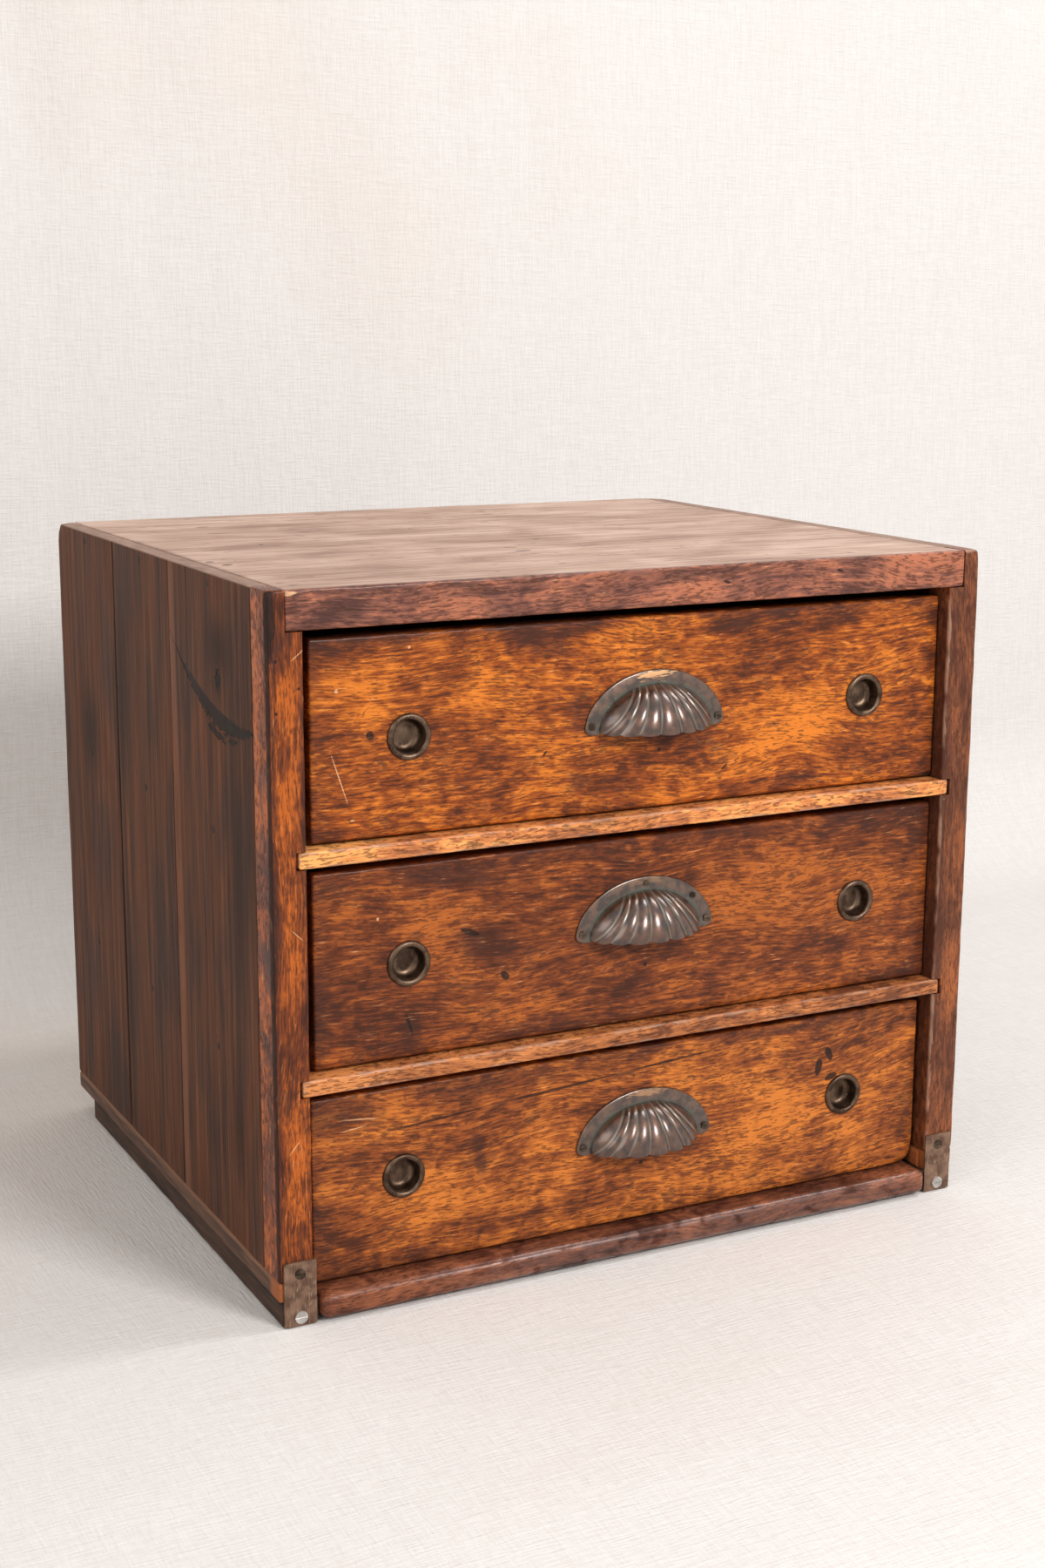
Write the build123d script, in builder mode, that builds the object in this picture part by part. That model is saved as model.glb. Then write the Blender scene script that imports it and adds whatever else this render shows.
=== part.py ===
from build123d import *
import math
import os

# A small three-drawer tabletop chest. Millimetres, +Z up, the drawers open towards -Y.
# The origin is on the floor, under the middle of the chest measured over its pulls.

os.makedirs("parts", exist_ok=True)

# ---- Driving sizes -------------------------------------------------------------------

# Carcass
width = 420.0                  # over the outer faces of the sides
depth = 357.0                  # stile faces to the back edges
stile_face = 19.0              # stile width, seen from the front
stile_side = 21.0              # stile depth, seen from the side
stile_round = 1.5
side_thick = 10.0
side_front_joint = 146.0       # first joint between the side boards, behind the stile faces
side_rear_board = 112.0        # depth of the rear side board
side_rear_round = 6.0          # worn upper rear corner of each side
top_thick = 12.0
top_front_joint = 165.0        # first joint between the top boards, behind the stile faces
top_rear_board = 34.0          # depth of the rear top board
top_broken_edge = 2.0          # strip missing along the rear edge of the top
top_broken_from = 62.0         # where that strip starts, right of the middle
top_rail_height = 20.2
top_rail_lip = 2.5             # rail showing in front of the top boards
shelf_thick = 8.5
upper_bay = 108.6              # clear heights of the drawers' openings
middle_bay = 108.5
lower_bay = 105.2
shelf_rail_housing = 4.0       # rail end let into the stile's face
housing_gap = 1.5              # open end of that housing
back_thick = 7.0
back_joint_rise = 3.3          # joints between the back boards, above the shelves

# Base
bottom_top = 15.0              # upper face of the bottom board
bottom_thick = 8.0
nosing_height = 14.0
nosing_reach = 5.0             # half-round standing in front of the stiles
nosing_end_round = 5.0
skid_height = 13.0
skid_inset = 1.5               # skid set in from the side's outer face
skid_rear_gap = 26.0           # skid stops this far short of the back
base_rail_height = 11.0
base_rail_step = 2.6           # its inner edge, further in than the stile's
base_rail_round = 2.5          # upper arris of the ledge it makes
base_rail_set_back = 5.0       # its inner edge, behind the stile face

# Drawer guides on the shelves
guide_height = 12.0
guide_gap = 0.5                # to the drawer's side

# Drawers
drawer_recess = 9.0            # drawer fronts behind the stile faces
drawer_side_gap = 0.5          # lower front's ends to the base rails
drawer_rest_gap = 0.4          # the other fronts' right ends to the stile they lie against
drawer_lift = 0.3              # drawer bottom above what it slides on
front_foot_gap = 1.0           # front's lower edge above what the drawer slides on
front_head_gap = 5.5           # front's upper edge below the rail above
front_thick = 14.0
front_lap = 7.0                # thickness of the front that covers the box's sides
front_round = 1.0
front_corner_round = 2.5
box_side_thick = 8.0
box_inset = 1.0                # box side set in from the end of the front
box_side_drop = 8.0            # box side's upper edge below the front's
box_back_drop = 6.0            # box back's upper edge below the sides'
box_bottom_thick = 5.0
box_rear_gap = 8.0             # behind the closed drawer

# Finger cups
cup_bore_radius = 8.65
cup_wall = 0.8
cup_depth = 8.0
cup_rim_radius = 12.0
cup_spacing = 274.0            # between the two cups of a drawer
cup_shifts = (2.0, 1.0, 0.0)   # the cups' middle, right of the drawer's, upper drawer first
cup_height = 50.0              # centre above the front's lower edge
cup_fit = 0.1                  # radial clearance in the wood

# Cup pulls
pull_ear = 7.8                 # flange's reach past each end of the shell
pull_height = 32.0
pull_thick = 1.4
pull_projection = 19.0
pull_shell_width = 69.4        # width of the shell at the flange
pull_axis_depth = 7.0          # shell's long axis behind the drawer's face
pull_shell_thick = 1.3
pull_ear_round = 4.0
pull_shifts = (5.9, 1.6, 5.9)  # the pull's middle, right of the drawer's, upper drawer first
pull_feet = (42.0, 48.0, 42.6)  # flange's lower edge above the front's

# Corner straps
strap_width = 17.5
strap_height = 34.5
strap_thick = 1.2
strap_inset = 2.5              # from the side's outer face
strap_corner_round = 0.8
old_screw_z = 28.0             # above the floor
new_screw_z = 4.8

# Screws: head radius, head height, shank radius, length under the head
old_screw = (2.75, 0.6, 1.4, 14.0)
new_screw = (3.4, 1.1, 1.6, 14.0)
ear_screw = (2.1, 0.8, 1.0, 9.0)
brass_screw = (1.6, 0.8, 0.8, 9.0)
ear_screw_inset = 4.4          # from the flange's end
ear_screw_rise = 4.6           # above the flange's lower edge
brass_screws = ((0.0, 28.6), (29.0, 18.6))   # from the middle of the flange's lower edge
slot_width = 0.7
slot_depth = 0.45

# Nails: head radius, head height, shank radius, length under the head
side_nail = (1.9, 0.8, 1.0, 21.0)
drawer_nail = (1.5, 0.6, 0.8, 17.0)
nails_per_corner = 3
corner_nail_margin = 14.0      # end nails from the edges of the drawer's side
fastener_fit = 0.05            # radial clearance of shanks and sunk heads

# ---- Places worked out from them -----------------------------------------------------

reach = max(nosing_reach, pull_projection - drawer_recess)
front_y = (reach - depth) / 2
back_y = front_y + depth
stile_back_y = front_y + stile_side
back_board_y = back_y - back_thick

half_width = width / 2
side_inner_x = half_width - side_thick
stile_inner_x = half_width - stile_face
base_inner_x = stile_inner_x - base_rail_step
skid_outer_x = half_width - skid_inset
shelf_rail_end_x = stile_inner_x + shelf_rail_housing

lower_shelf_top = bottom_top + lower_bay + shelf_thick
upper_shelf_top = lower_shelf_top + middle_bay + shelf_thick
top_rail_z = upper_shelf_top + upper_bay
height = top_rail_z + top_rail_height
top_under_z = height - top_thick
base_rail_top = skid_height + base_rail_height
shelf_tops = (upper_shelf_top, lower_shelf_top)

face_y = front_y + drawer_recess
lap_y = face_y + front_lap
front_back_y = face_y + front_thick
box_back_y = back_board_y - box_rear_gap
front_half = base_inner_x - drawer_side_gap
box_outer_half = front_half - box_inset
box_inner_half = box_outer_half - box_side_thick
pull_width = pull_shell_width + 2 * pull_ear

# The upper two drawers lie to the right in their openings, and the lower one between the base rails
drawer_rest_x = stile_inner_x - drawer_rest_gap - front_half
drawer_middles = (drawer_rest_x, drawer_rest_x, 0.0)

hands = (("left", -1), ("right", 1))


def limits(a, b):
    """Two limits in rising order."""
    return (min(a, b), max(a, b))


def board(x, y, z):
    """A rectangular board between two x, two y and two z limits."""
    with BuildPart() as blank:
        with BuildSketch(Plane.XY.offset(z[0])):
            with Locations(((x[0] + x[1]) / 2, (y[0] + y[1]) / 2)):
                Rectangle(x[1] - x[0], y[1] - y[0])
        extrude(amount=z[1] - z[0])
    return blank.part


def seats(points, out):
    """A plane at each point, facing the way a fastener's head faces there."""
    return [Plane(origin=point, z_dir=out) for point in points]


def drill_sunk(points, out, fastener, through):
    """Sink a fastener's head in the surface and bore for its shank."""
    head_radius, head_height, shank_radius, _ = fastener
    with Locations(*seats(points, out)):
        CounterBoreHole(
            radius=shank_radius + fastener_fit,
            counter_bore_radius=head_radius + fastener_fit,
            counter_bore_depth=head_height,
            depth=through,
        )


def drill(points, out, fastener, deep):
    """Bore for a fastener's shank, from the surface in."""
    with Locations(*seats(points, out)):
        Hole(radius=fastener[2] + fastener_fit, depth=deep)


def drive(points, out, fastener):
    """Fasteners whose heads' undersides are at the points."""
    head_radius, head_height, shank_radius, length = fastener
    with Locations(*seats(points, out)):
        Cylinder(shank_radius, length, align=(Align.CENTER, Align.CENTER, Align.MAX))
        Cylinder(head_radius, head_height, align=(Align.CENTER, Align.CENTER, Align.MIN))


def slot_heads(points, out, fastener):
    """Cut a screwdriver slot across each head."""
    head_radius, head_height, _, _ = fastener
    with Locations(*[seat.offset(head_height) for seat in seats(points, out)]):
        Box(
            slot_width,
            2 * head_radius,
            slot_depth,
            align=(Align.CENTER, Align.CENTER, Align.MAX),
            mode=Mode.SUBTRACT,
        )


# ---- Front frame ---------------------------------------------------------------------

strap_middle_x = half_width - strap_inset - strap_width / 2
strap_face_y = front_y - strap_thick
strap_screw_deep = old_screw[3] - strap_thick + 1.0

for hand, sign in hands:
    with BuildPart() as front_stile:
        add(board(
            limits(sign * stile_inner_x, sign * half_width),
            (front_y, stile_back_y),
            (base_rail_top, height),
        ))
        front_edges = front_stile.edges().filter_by(Axis.Z).group_by(Axis.Y)[0]
        fillet(front_edges.sort_by(Axis.X)[0 if sign < 0 else -1], stile_round)
        housing = shelf_rail_housing + housing_gap
        for shelf_top in shelf_tops:
            add(board(
                limits(sign * stile_inner_x, sign * (stile_inner_x + housing)),
                (front_y, stile_back_y),
                (shelf_top - shelf_thick, shelf_top),
            ), mode=Mode.SUBTRACT)
        add(board(
            limits(sign * stile_inner_x, sign * side_inner_x),
            (front_y, stile_back_y),
            (top_rail_z, height),
        ), mode=Mode.SUBTRACT)
        drill([(sign * strap_middle_x, front_y, old_screw_z)], (0, -1, 0), old_screw, strap_screw_deep)
    front_stile.part.label = f"{hand}_front_stile"
    export_step(front_stile.part, f"parts/{hand}_front_stile.step")

with BuildPart() as top_front_rail:
    with BuildSketch(Plane.YZ.offset(-side_inner_x)):
        with BuildLine():
            Polyline(
                (front_y, top_rail_z),
                (stile_back_y, top_rail_z),
                (stile_back_y, top_under_z),
                (front_y + top_rail_lip, top_under_z),
                (front_y + top_rail_lip, height),
                (front_y, height),
                close=True,
            )
        make_face()
    extrude(amount=2 * side_inner_x)
top_front_rail.part.label = "top_front_rail"
export_step(top_front_rail.part, "parts/top_front_rail.step")

for level, shelf_top in zip(("upper", "lower"), shelf_tops):
    with BuildPart() as shelf_rail:
        add(board(
            (-shelf_rail_end_x, shelf_rail_end_x),
            (front_y, stile_back_y),
            (shelf_top - shelf_thick, shelf_top),
        ))
        front_edges = shelf_rail.edges().filter_by(Axis.X).group_by(Axis.Y)[0]
        fillet(front_edges, front_round)
    shelf_rail.part.label = f"{level}_shelf_rail"
    export_step(shelf_rail.part, f"parts/{level}_shelf_rail.step")

# ---- Sides, top, shelves, bottom and back --------------------------------------------

side_joints = (stile_side, side_front_joint, depth - side_rear_board, depth)
top_joints = (top_rail_lip, top_front_joint, depth - top_rear_board, depth)
board_names = ("front", "middle", "rear")
nail_ys = [front_y + (a + b) / 2 for a, b in zip(side_joints, side_joints[1:])]
top_nail_z = height - top_thick / 2
shelf_nail_zs = [shelf_top - shelf_thick / 2 for shelf_top in shelf_tops]
side_nail_deep = side_nail[3] + side_nail[1] - side_thick + 1.0


def nail_row(sign, x, zs, ys=nail_ys):
    """Nail places on one side of the chest, at each height and board."""
    return [(sign * x, y, z) for z in zs for y in ys]


for hand, sign in hands:
    for name, nail_y, y_from, y_to in zip(board_names, nail_ys, side_joints, side_joints[1:]):
        with BuildPart() as side_board:
            add(board(
                limits(sign * side_inner_x, sign * half_width),
                (front_y + y_from, front_y + y_to),
                (base_rail_top, height),
            ))
            if name == "rear":
                top_edges = side_board.edges().filter_by(Axis.X).group_by(Axis.Z)[-1]
                fillet(top_edges.sort_by(Axis.Y)[-1], side_rear_round)
            holes = nail_row(sign, half_width, [top_nail_z, *shelf_nail_zs], [nail_y])
            drill_sunk(holes, (sign, 0, 0), side_nail, side_thick)
        side_board.part.label = f"{hand}_side_board_{name}"
        export_step(side_board.part, f"parts/{hand}_side_board_{name}.step")

for name, y_from, y_to in zip(board_names, top_joints, top_joints[1:]):
    with BuildPart() as top_board:
        add(board(
            (-side_inner_x, side_inner_x),
            (front_y + y_from, front_y + y_to),
            (top_under_z, height),
        ))
        if name == "rear":
            add(board(
                (top_broken_from, side_inner_x),
                (back_y - top_broken_edge, back_y),
                (top_under_z, height),
            ), mode=Mode.SUBTRACT)
        ends = [y for y in nail_ys if front_y + y_from < y < front_y + y_to]
        for _, sign in hands:
            if ends:
                holes = nail_row(sign, side_inner_x, [top_nail_z], ends)
                drill(holes, (sign, 0, 0), side_nail, side_nail_deep)
    top_board.part.label = f"top_board_{name}"
    export_step(top_board.part, f"parts/top_board_{name}.step")

for level, shelf_top, nail_z in zip(("upper", "lower"), shelf_tops, shelf_nail_zs):
    with BuildPart() as shelf_board:
        add(board(
            (-side_inner_x, side_inner_x),
            (stile_back_y, back_board_y),
            (shelf_top - shelf_thick, shelf_top),
        ))
        for _, sign in hands:
            drill(nail_row(sign, side_inner_x, [nail_z]), (sign, 0, 0), side_nail, side_nail_deep)
    shelf_board.part.label = f"{level}_shelf_board"
    export_step(shelf_board.part, f"parts/{level}_shelf_board.step")

bottom_board = board(
    (-base_inner_x, base_inner_x),
    (stile_back_y, back_y),
    (bottom_top - bottom_thick, bottom_top),
)
bottom_board.label = "bottom_board"
export_step(bottom_board, "parts/bottom_board.step")

back_joints = [shelf_top + back_joint_rise for shelf_top in reversed(shelf_tops)]
back_zs = (bottom_top, *back_joints, top_under_z)
for level, z_from, z_to in zip(("lower", "middle", "upper"), back_zs, back_zs[1:]):
    with BuildPart() as back_board:
        add(board((-side_inner_x, side_inner_x), (back_board_y, back_y), (z_from, z_to)))
        if level == "lower":
            for _, sign in hands:
                add(board(
                    limits(sign * base_inner_x, sign * side_inner_x),
                    (back_board_y, back_y),
                    (bottom_top, base_rail_top),
                ), mode=Mode.SUBTRACT)
    back_board.part.label = f"back_board_{level}"
    export_step(back_board.part, f"parts/back_board_{level}.step")

with BuildPart() as carcass_nails:
    for _, sign in hands:
        heads = nail_row(sign, half_width - side_nail[1], [top_nail_z, *shelf_nail_zs])
        drive(heads, (sign, 0, 0), side_nail)
carcass_nails.part.label = "carcass_nails"
export_step(carcass_nails.part, "parts/carcass_nails.step")

# ---- Base, nosing, guides and straps -------------------------------------------------

for hand, sign in hands:
    with BuildPart() as base_rail:
        add(board(
            limits(sign * base_inner_x, sign * half_width),
            (front_y, back_y),
            (skid_height, base_rail_top),
        ))
        long_edges = base_rail.edges().filter_by(Axis.Y).group_by(Axis.Z)[-1]
        fillet(long_edges.sort_by(Axis.X)[0 if sign < 0 else -1], base_rail_round)
        add(board(
            limits(sign * base_inner_x, sign * stile_inner_x),
            (front_y, front_y + base_rail_set_back),
            (skid_height, base_rail_top),
        ), mode=Mode.SUBTRACT)
    base_rail.part.label = f"{hand}_base_rail"
    export_step(base_rail.part, f"parts/{hand}_base_rail.step")

    with BuildPart() as skid:
        add(board(
            limits(sign * base_inner_x, sign * skid_outer_x),
            (front_y, back_y - skid_rear_gap),
            (0, skid_height),
        ))
        drill([(sign * strap_middle_x, front_y, new_screw_z)], (0, -1, 0), new_screw, strap_screw_deep)
    skid.part.label = f"{hand}_skid"
    export_step(skid.part, f"parts/{hand}_skid.step")

    with BuildPart() as drawer_guides:
        for shelf_top, middle_x in zip(shelf_tops, drawer_middles):
            guide_x = middle_x + sign * (box_outer_half + guide_gap)
            add(board(
                limits(guide_x, sign * side_inner_x),
                (stile_back_y, back_board_y),
                (shelf_top, shelf_top + guide_height),
            ))
    drawer_guides.part.label = f"{hand}_drawer_guides"
    export_step(drawer_guides.part, f"parts/{hand}_drawer_guides.step")

    with BuildPart() as corner_strap:
        with BuildSketch(Plane.XZ.offset(-front_y)):
            with Locations((sign * strap_middle_x, strap_height / 2)):
                RectangleRounded(strap_width, strap_height, strap_corner_round)
        extrude(amount=strap_thick)
        for screw, z in ((old_screw, old_screw_z), (new_screw, new_screw_z)):
            drill([(sign * strap_middle_x, strap_face_y, z)], (0, -1, 0), screw, strap_thick)
    corner_strap.part.label = f"{hand}_corner_strap"
    export_step(corner_strap.part, f"parts/{hand}_corner_strap.step")

with BuildPart() as bottom_nosing:
    nose_radius = nosing_height / 2
    nose_foot = bottom_top - nosing_height
    nose_y = front_y - nosing_reach + nose_radius
    with BuildSketch(Plane.YZ.offset(-base_inner_x)):
        with BuildLine():
            Line((stile_back_y, nose_foot), (stile_back_y, bottom_top))
            Line((stile_back_y, bottom_top), (nose_y, bottom_top))
            ThreePointArc(
                (nose_y, bottom_top),
                (nose_y - nose_radius, nose_foot + nose_radius),
                (nose_y, nose_foot),
            )
            Line((nose_y, nose_foot), (stile_back_y, nose_foot))
        make_face()
    extrude(amount=2 * base_inner_x)
    nose_ends = bottom_nosing.edges().filter_by(GeomType.CIRCLE)
    fillet(nose_ends, nosing_end_round)
bottom_nosing.part.label = "bottom_nosing"
export_step(bottom_nosing.part, "parts/bottom_nosing.step")

for node, screw, z in (
    ("strap_screws_old", old_screw, old_screw_z),
    ("strap_screws_new", new_screw, new_screw_z),
):
    with BuildPart() as strap_screws:
        places = [(sign * strap_middle_x, strap_face_y, z) for _, sign in hands]
        drive(places, (0, -1, 0), screw)
        slot_heads(places, (0, -1, 0), screw)
    strap_screws.part.label = node
    export_step(strap_screws.part, f"parts/{node}.step")

# ---- Drawers -------------------------------------------------------------------------

# Shell of a cup pull: a hollow ellipsoid about an axis behind the drawer's face, cut at the
# face and at the flange's lower edge.
half_turn = 180.0              # degrees
shell_radius = pull_projection + pull_axis_depth
shell_half = pull_shell_width / 2 / math.sqrt(1 - (pull_axis_depth / shell_radius) ** 2)


def ellipsoid(half_length, radius, middle_x, axis_y, axis_z):
    """An ellipsoid of revolution about a line along X."""
    middle = (middle_x, axis_y, axis_z)
    with BuildPart() as solid:
        with BuildSketch(Plane(origin=middle, x_dir=(1, 0, 0), z_dir=(0, 0, 1))):
            with BuildLine():
                EllipticalCenterArc((0, 0), half_length, radius, arc_size=half_turn)
                Line((-half_length, 0), (half_length, 0))
            make_face()
        revolve(axis=Axis(middle, (1, 0, 0)))
    return solid.part


def cup_pull(pull_x, foot_z, screw_places):
    """A cup pull on the drawer's face, with the middle of its flange's lower edge at a place."""
    axis_y = face_y + pull_axis_depth
    outer = ellipsoid(shell_half, shell_radius, pull_x, axis_y, foot_z)
    inner_half = shell_half - pull_shell_thick
    inner = ellipsoid(inner_half, shell_radius - pull_shell_thick, pull_x, axis_y, foot_z)
    with BuildPart() as pull:
        with BuildSketch(Plane.XZ.offset(-face_y)) as flange:
            with Locations((pull_x, foot_z)):
                Ellipse(pull_width / 2, pull_height)
            with Locations((pull_x, foot_z - pull_height / 2)):
                Rectangle(pull_width, pull_height, mode=Mode.SUBTRACT)
            fillet(flange.vertices(), pull_ear_round)
        extrude(amount=pull_thick)
        add(outer)
        add(inner, mode=Mode.SUBTRACT)
        split(bisect_by=Plane.XZ.offset(-face_y), keep=Keep.TOP)
        split(bisect_by=Plane.XY.offset(foot_z), keep=Keep.TOP)
        for (x, z), screw in screw_places:
            drill([(x, face_y - pull_thick, z)], (0, -1, 0), screw, pull_thick)
    return pull.part


# Each drawer: its name, what it slides on, and the rail above it
bays = (
    ("upper", upper_shelf_top, top_rail_z),
    ("middle", lower_shelf_top, upper_shelf_top - shelf_thick),
    ("lower", bottom_top, lower_shelf_top - shelf_thick),
)

for (level, floor_z, ceiling_z), middle_x, cup_shift, pull_shift, pull_foot in zip(
    bays, drawer_middles, cup_shifts, pull_shifts, pull_feet
):
    box_foot = floor_z + drawer_lift
    panel_top = box_foot + box_bottom_thick
    front_foot = floor_z + front_foot_gap
    front_top = ceiling_z - front_head_gap
    side_top = front_top - box_side_drop
    back_top = side_top - box_back_drop
    cup_z = front_foot + cup_height
    cup_xs = [middle_x + cup_shift + sign * cup_spacing / 2 for _, sign in hands]
    pull_x = middle_x + pull_shift
    pull_z = front_foot + pull_foot
    pull_face_y = face_y - pull_thick

    ear_x = pull_width / 2 - ear_screw_inset
    ears = [((pull_x + sign * ear_x, pull_z + ear_screw_rise), ear_screw) for _, sign in hands]
    extras = [((pull_x + x, pull_z + z), brass_screw) for x, z in brass_screws]
    screw_places = ears + extras if level == "middle" else ears

    nail_step = (back_top - panel_top - 2 * corner_nail_margin) / (nails_per_corner - 1)
    nail_zs = [panel_top + corner_nail_margin + i * nail_step for i in range(nails_per_corner)]
    corners_x = [middle_x + sign * box_inner_half for _, sign in hands]
    sides_x = [middle_x + sign * box_outer_half for _, sign in hands]
    lap_nail_y = lap_y + (front_thick - front_lap) / 2
    back_nail_y = box_back_y - box_side_thick / 2
    corner_nail_deep = drawer_nail[3] + drawer_nail[1] - box_side_thick + 1.0

    with BuildPart() as drawer_front:
        with BuildSketch(Plane.XZ.offset(-front_back_y)):
            with Locations((middle_x, (front_foot + front_top) / 2)):
                RectangleRounded(2 * front_half, front_top - front_foot, front_corner_round)
        extrude(amount=front_thick)
        face_edges = drawer_front.edges().group_by(Axis.Y)[0]
        fillet(face_edges, front_round)
        add(board(
            (middle_x - front_half, middle_x + front_half),
            (lap_y, front_back_y),
            (front_foot, panel_top),
        ), mode=Mode.SUBTRACT)
        for (_, sign), corner_x in zip(hands, corners_x):
            add(board(
                limits(corner_x, middle_x + sign * front_half),
                (lap_y, front_back_y),
                (front_foot, front_top),
            ), mode=Mode.SUBTRACT)
            drill(
                [(corner_x, lap_nail_y, z) for z in nail_zs],
                (sign, 0, 0), drawer_nail, corner_nail_deep,
            )
        with Locations(*seats([(x, face_y, cup_z) for x in cup_xs], (0, -1, 0))):
            Hole(radius=cup_bore_radius + cup_wall + cup_fit, depth=cup_depth + cup_fit)
        for (x, z), screw in screw_places:
            drill([(x, face_y, z)], (0, -1, 0), screw, screw[3])
    drawer_front.part.label = f"{level}_drawer_front"
    export_step(drawer_front.part, f"parts/{level}_drawer_front.step")

    for (hand, sign), corner_x, side_x in zip(hands, corners_x, sides_x):
        with BuildPart() as drawer_side:
            add(board(limits(corner_x, side_x), (lap_y, box_back_y), (panel_top, side_top)))
            holes = [(side_x, y, z) for y in (lap_nail_y, back_nail_y) for z in nail_zs]
            drill_sunk(holes, (sign, 0, 0), drawer_nail, box_side_thick)
        drawer_side.part.label = f"{level}_drawer_{hand}_side"
        export_step(drawer_side.part, f"parts/{level}_drawer_{hand}_side.step")

    with BuildPart() as drawer_back:
        add(board(corners_x, (box_back_y - box_side_thick, box_back_y), (panel_top, back_top)))
        for (_, sign), corner_x in zip(hands, corners_x):
            drill(
                [(corner_x, back_nail_y, z) for z in nail_zs],
                (sign, 0, 0), drawer_nail, corner_nail_deep,
            )
    drawer_back.part.label = f"{level}_drawer_back"
    export_step(drawer_back.part, f"parts/{level}_drawer_back.step")

    drawer_bottom = board(sides_x, (lap_y, box_back_y), (box_foot, panel_top))
    drawer_bottom.label = f"{level}_drawer_bottom"
    export_step(drawer_bottom, f"parts/{level}_drawer_bottom.step")

    with BuildPart() as drawer_nails:
        for (_, sign), side_x in zip(hands, sides_x):
            head_x = side_x - sign * drawer_nail[1]
            heads = [(head_x, y, z) for y in (lap_nail_y, back_nail_y) for z in nail_zs]
            drive(heads, (sign, 0, 0), drawer_nail)
    drawer_nails.part.label = f"{level}_drawer_nails"
    export_step(drawer_nails.part, f"parts/{level}_drawer_nails.step")

    with BuildPart() as finger_cups:
        wall_radius = cup_bore_radius + cup_wall
        roll_radius = (cup_rim_radius - cup_bore_radius) / 2
        for x in cup_xs:
            # The sketch's own x is the radius, and its y is the depth into the wood
            with BuildSketch(Plane(origin=(x, face_y, cup_z), x_dir=(1, 0, 0), z_dir=(0, 0, 1))):
                with BuildLine():
                    ThreePointArc(
                        (cup_rim_radius, 0),
                        (cup_rim_radius - roll_radius, -roll_radius),
                        (cup_bore_radius, 0),
                    )
                    Polyline(
                        (cup_bore_radius, 0),
                        (cup_bore_radius, cup_depth - cup_wall),
                        (0, cup_depth - cup_wall),
                        (0, cup_depth),
                        (wall_radius, cup_depth),
                        (wall_radius, 0),
                        (cup_rim_radius, 0),
                    )
                make_face()
            revolve(axis=Axis((x, face_y, cup_z), (0, 1, 0)))
    finger_cups.part.label = f"{level}_drawer_finger_cups"
    export_step(finger_cups.part, f"parts/{level}_drawer_finger_cups.step")

    pull = cup_pull(pull_x, pull_z, screw_places)
    pull.label = f"{level}_drawer_cup_pull"
    export_step(pull, f"parts/{level}_drawer_cup_pull.step")

    with BuildPart() as pull_screws:
        for (x, z), screw in screw_places:
            drive([(x, pull_face_y, z)], (0, -1, 0), screw)
            slot_heads([(x, pull_face_y, z)], (0, -1, 0), screw)
    pull_screws.part.label = f"{level}_drawer_pull_screws"
    export_step(pull_screws.part, f"parts/{level}_drawer_pull_screws.step")
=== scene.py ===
import math

import bmesh
import bpy
import numpy as np
from mathutils import Euler, Matrix, Vector, noise


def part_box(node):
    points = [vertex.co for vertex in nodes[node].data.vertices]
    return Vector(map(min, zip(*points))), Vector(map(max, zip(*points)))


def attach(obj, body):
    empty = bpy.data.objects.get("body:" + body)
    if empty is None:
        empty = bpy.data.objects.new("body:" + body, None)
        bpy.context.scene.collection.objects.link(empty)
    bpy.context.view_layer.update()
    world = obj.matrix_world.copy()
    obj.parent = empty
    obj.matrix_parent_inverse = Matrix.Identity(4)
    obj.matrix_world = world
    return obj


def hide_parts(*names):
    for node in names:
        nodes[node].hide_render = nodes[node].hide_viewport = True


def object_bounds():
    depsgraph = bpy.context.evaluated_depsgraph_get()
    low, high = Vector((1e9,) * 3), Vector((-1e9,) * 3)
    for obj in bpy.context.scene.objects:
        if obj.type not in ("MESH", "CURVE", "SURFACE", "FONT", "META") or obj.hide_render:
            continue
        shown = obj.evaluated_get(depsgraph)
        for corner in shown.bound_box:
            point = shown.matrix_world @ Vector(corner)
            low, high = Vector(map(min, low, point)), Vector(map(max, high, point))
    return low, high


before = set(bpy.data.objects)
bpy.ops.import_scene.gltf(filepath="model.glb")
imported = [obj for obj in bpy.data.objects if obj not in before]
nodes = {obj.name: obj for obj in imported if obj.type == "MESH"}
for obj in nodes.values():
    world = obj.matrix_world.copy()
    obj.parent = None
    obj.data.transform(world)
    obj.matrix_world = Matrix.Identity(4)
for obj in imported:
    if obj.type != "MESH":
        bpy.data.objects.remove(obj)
cad_low, cad_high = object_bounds()

# ---- Studio --------------------------------------------------------------------------
# The chest stands on a pale linen cloth that runs up behind it as a backdrop. A soft key lamp
# stands in front on the right, a wide one hangs high on the right, and a window is on the left.

mm = 0.001


def srgb(red, green, blue):
    """The linear colour of a screen colour given as 0 to 255 a channel."""
    shares = [channel / 255 for channel in (red, green, blue)]
    linear = [s / 12.92 if s <= 0.04045 else ((s + 0.055) / 1.055) ** 2.4 for s in shares]
    return (*linear, 1.0)


class Value:
    """A number or colour that changes over a surface. Sums written with it add Math nodes."""

    def __init__(self, finish, socket):
        self.finish = finish
        self.socket = socket

    def math(self, operation, *others):
        return self.finish.node("ShaderNodeMath", {"operation": operation}, dict(enumerate(others)))

    def __add__(self, other):
        return self.math("ADD", self, other)

    __radd__ = __add__

    def __sub__(self, other):
        return self.math("SUBTRACT", self, other)

    def __rsub__(self, other):
        return self.math("SUBTRACT", other, self)

    def __mul__(self, other):
        return self.math("MULTIPLY", self, other)

    __rmul__ = __mul__

    def most(self, other):
        return self.math("MAXIMUM", self, other)

    def least(self, other):
        return self.math("MINIMUM", self, other)

    def size(self):
        return self.math("ABSOLUTE", self)


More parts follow.
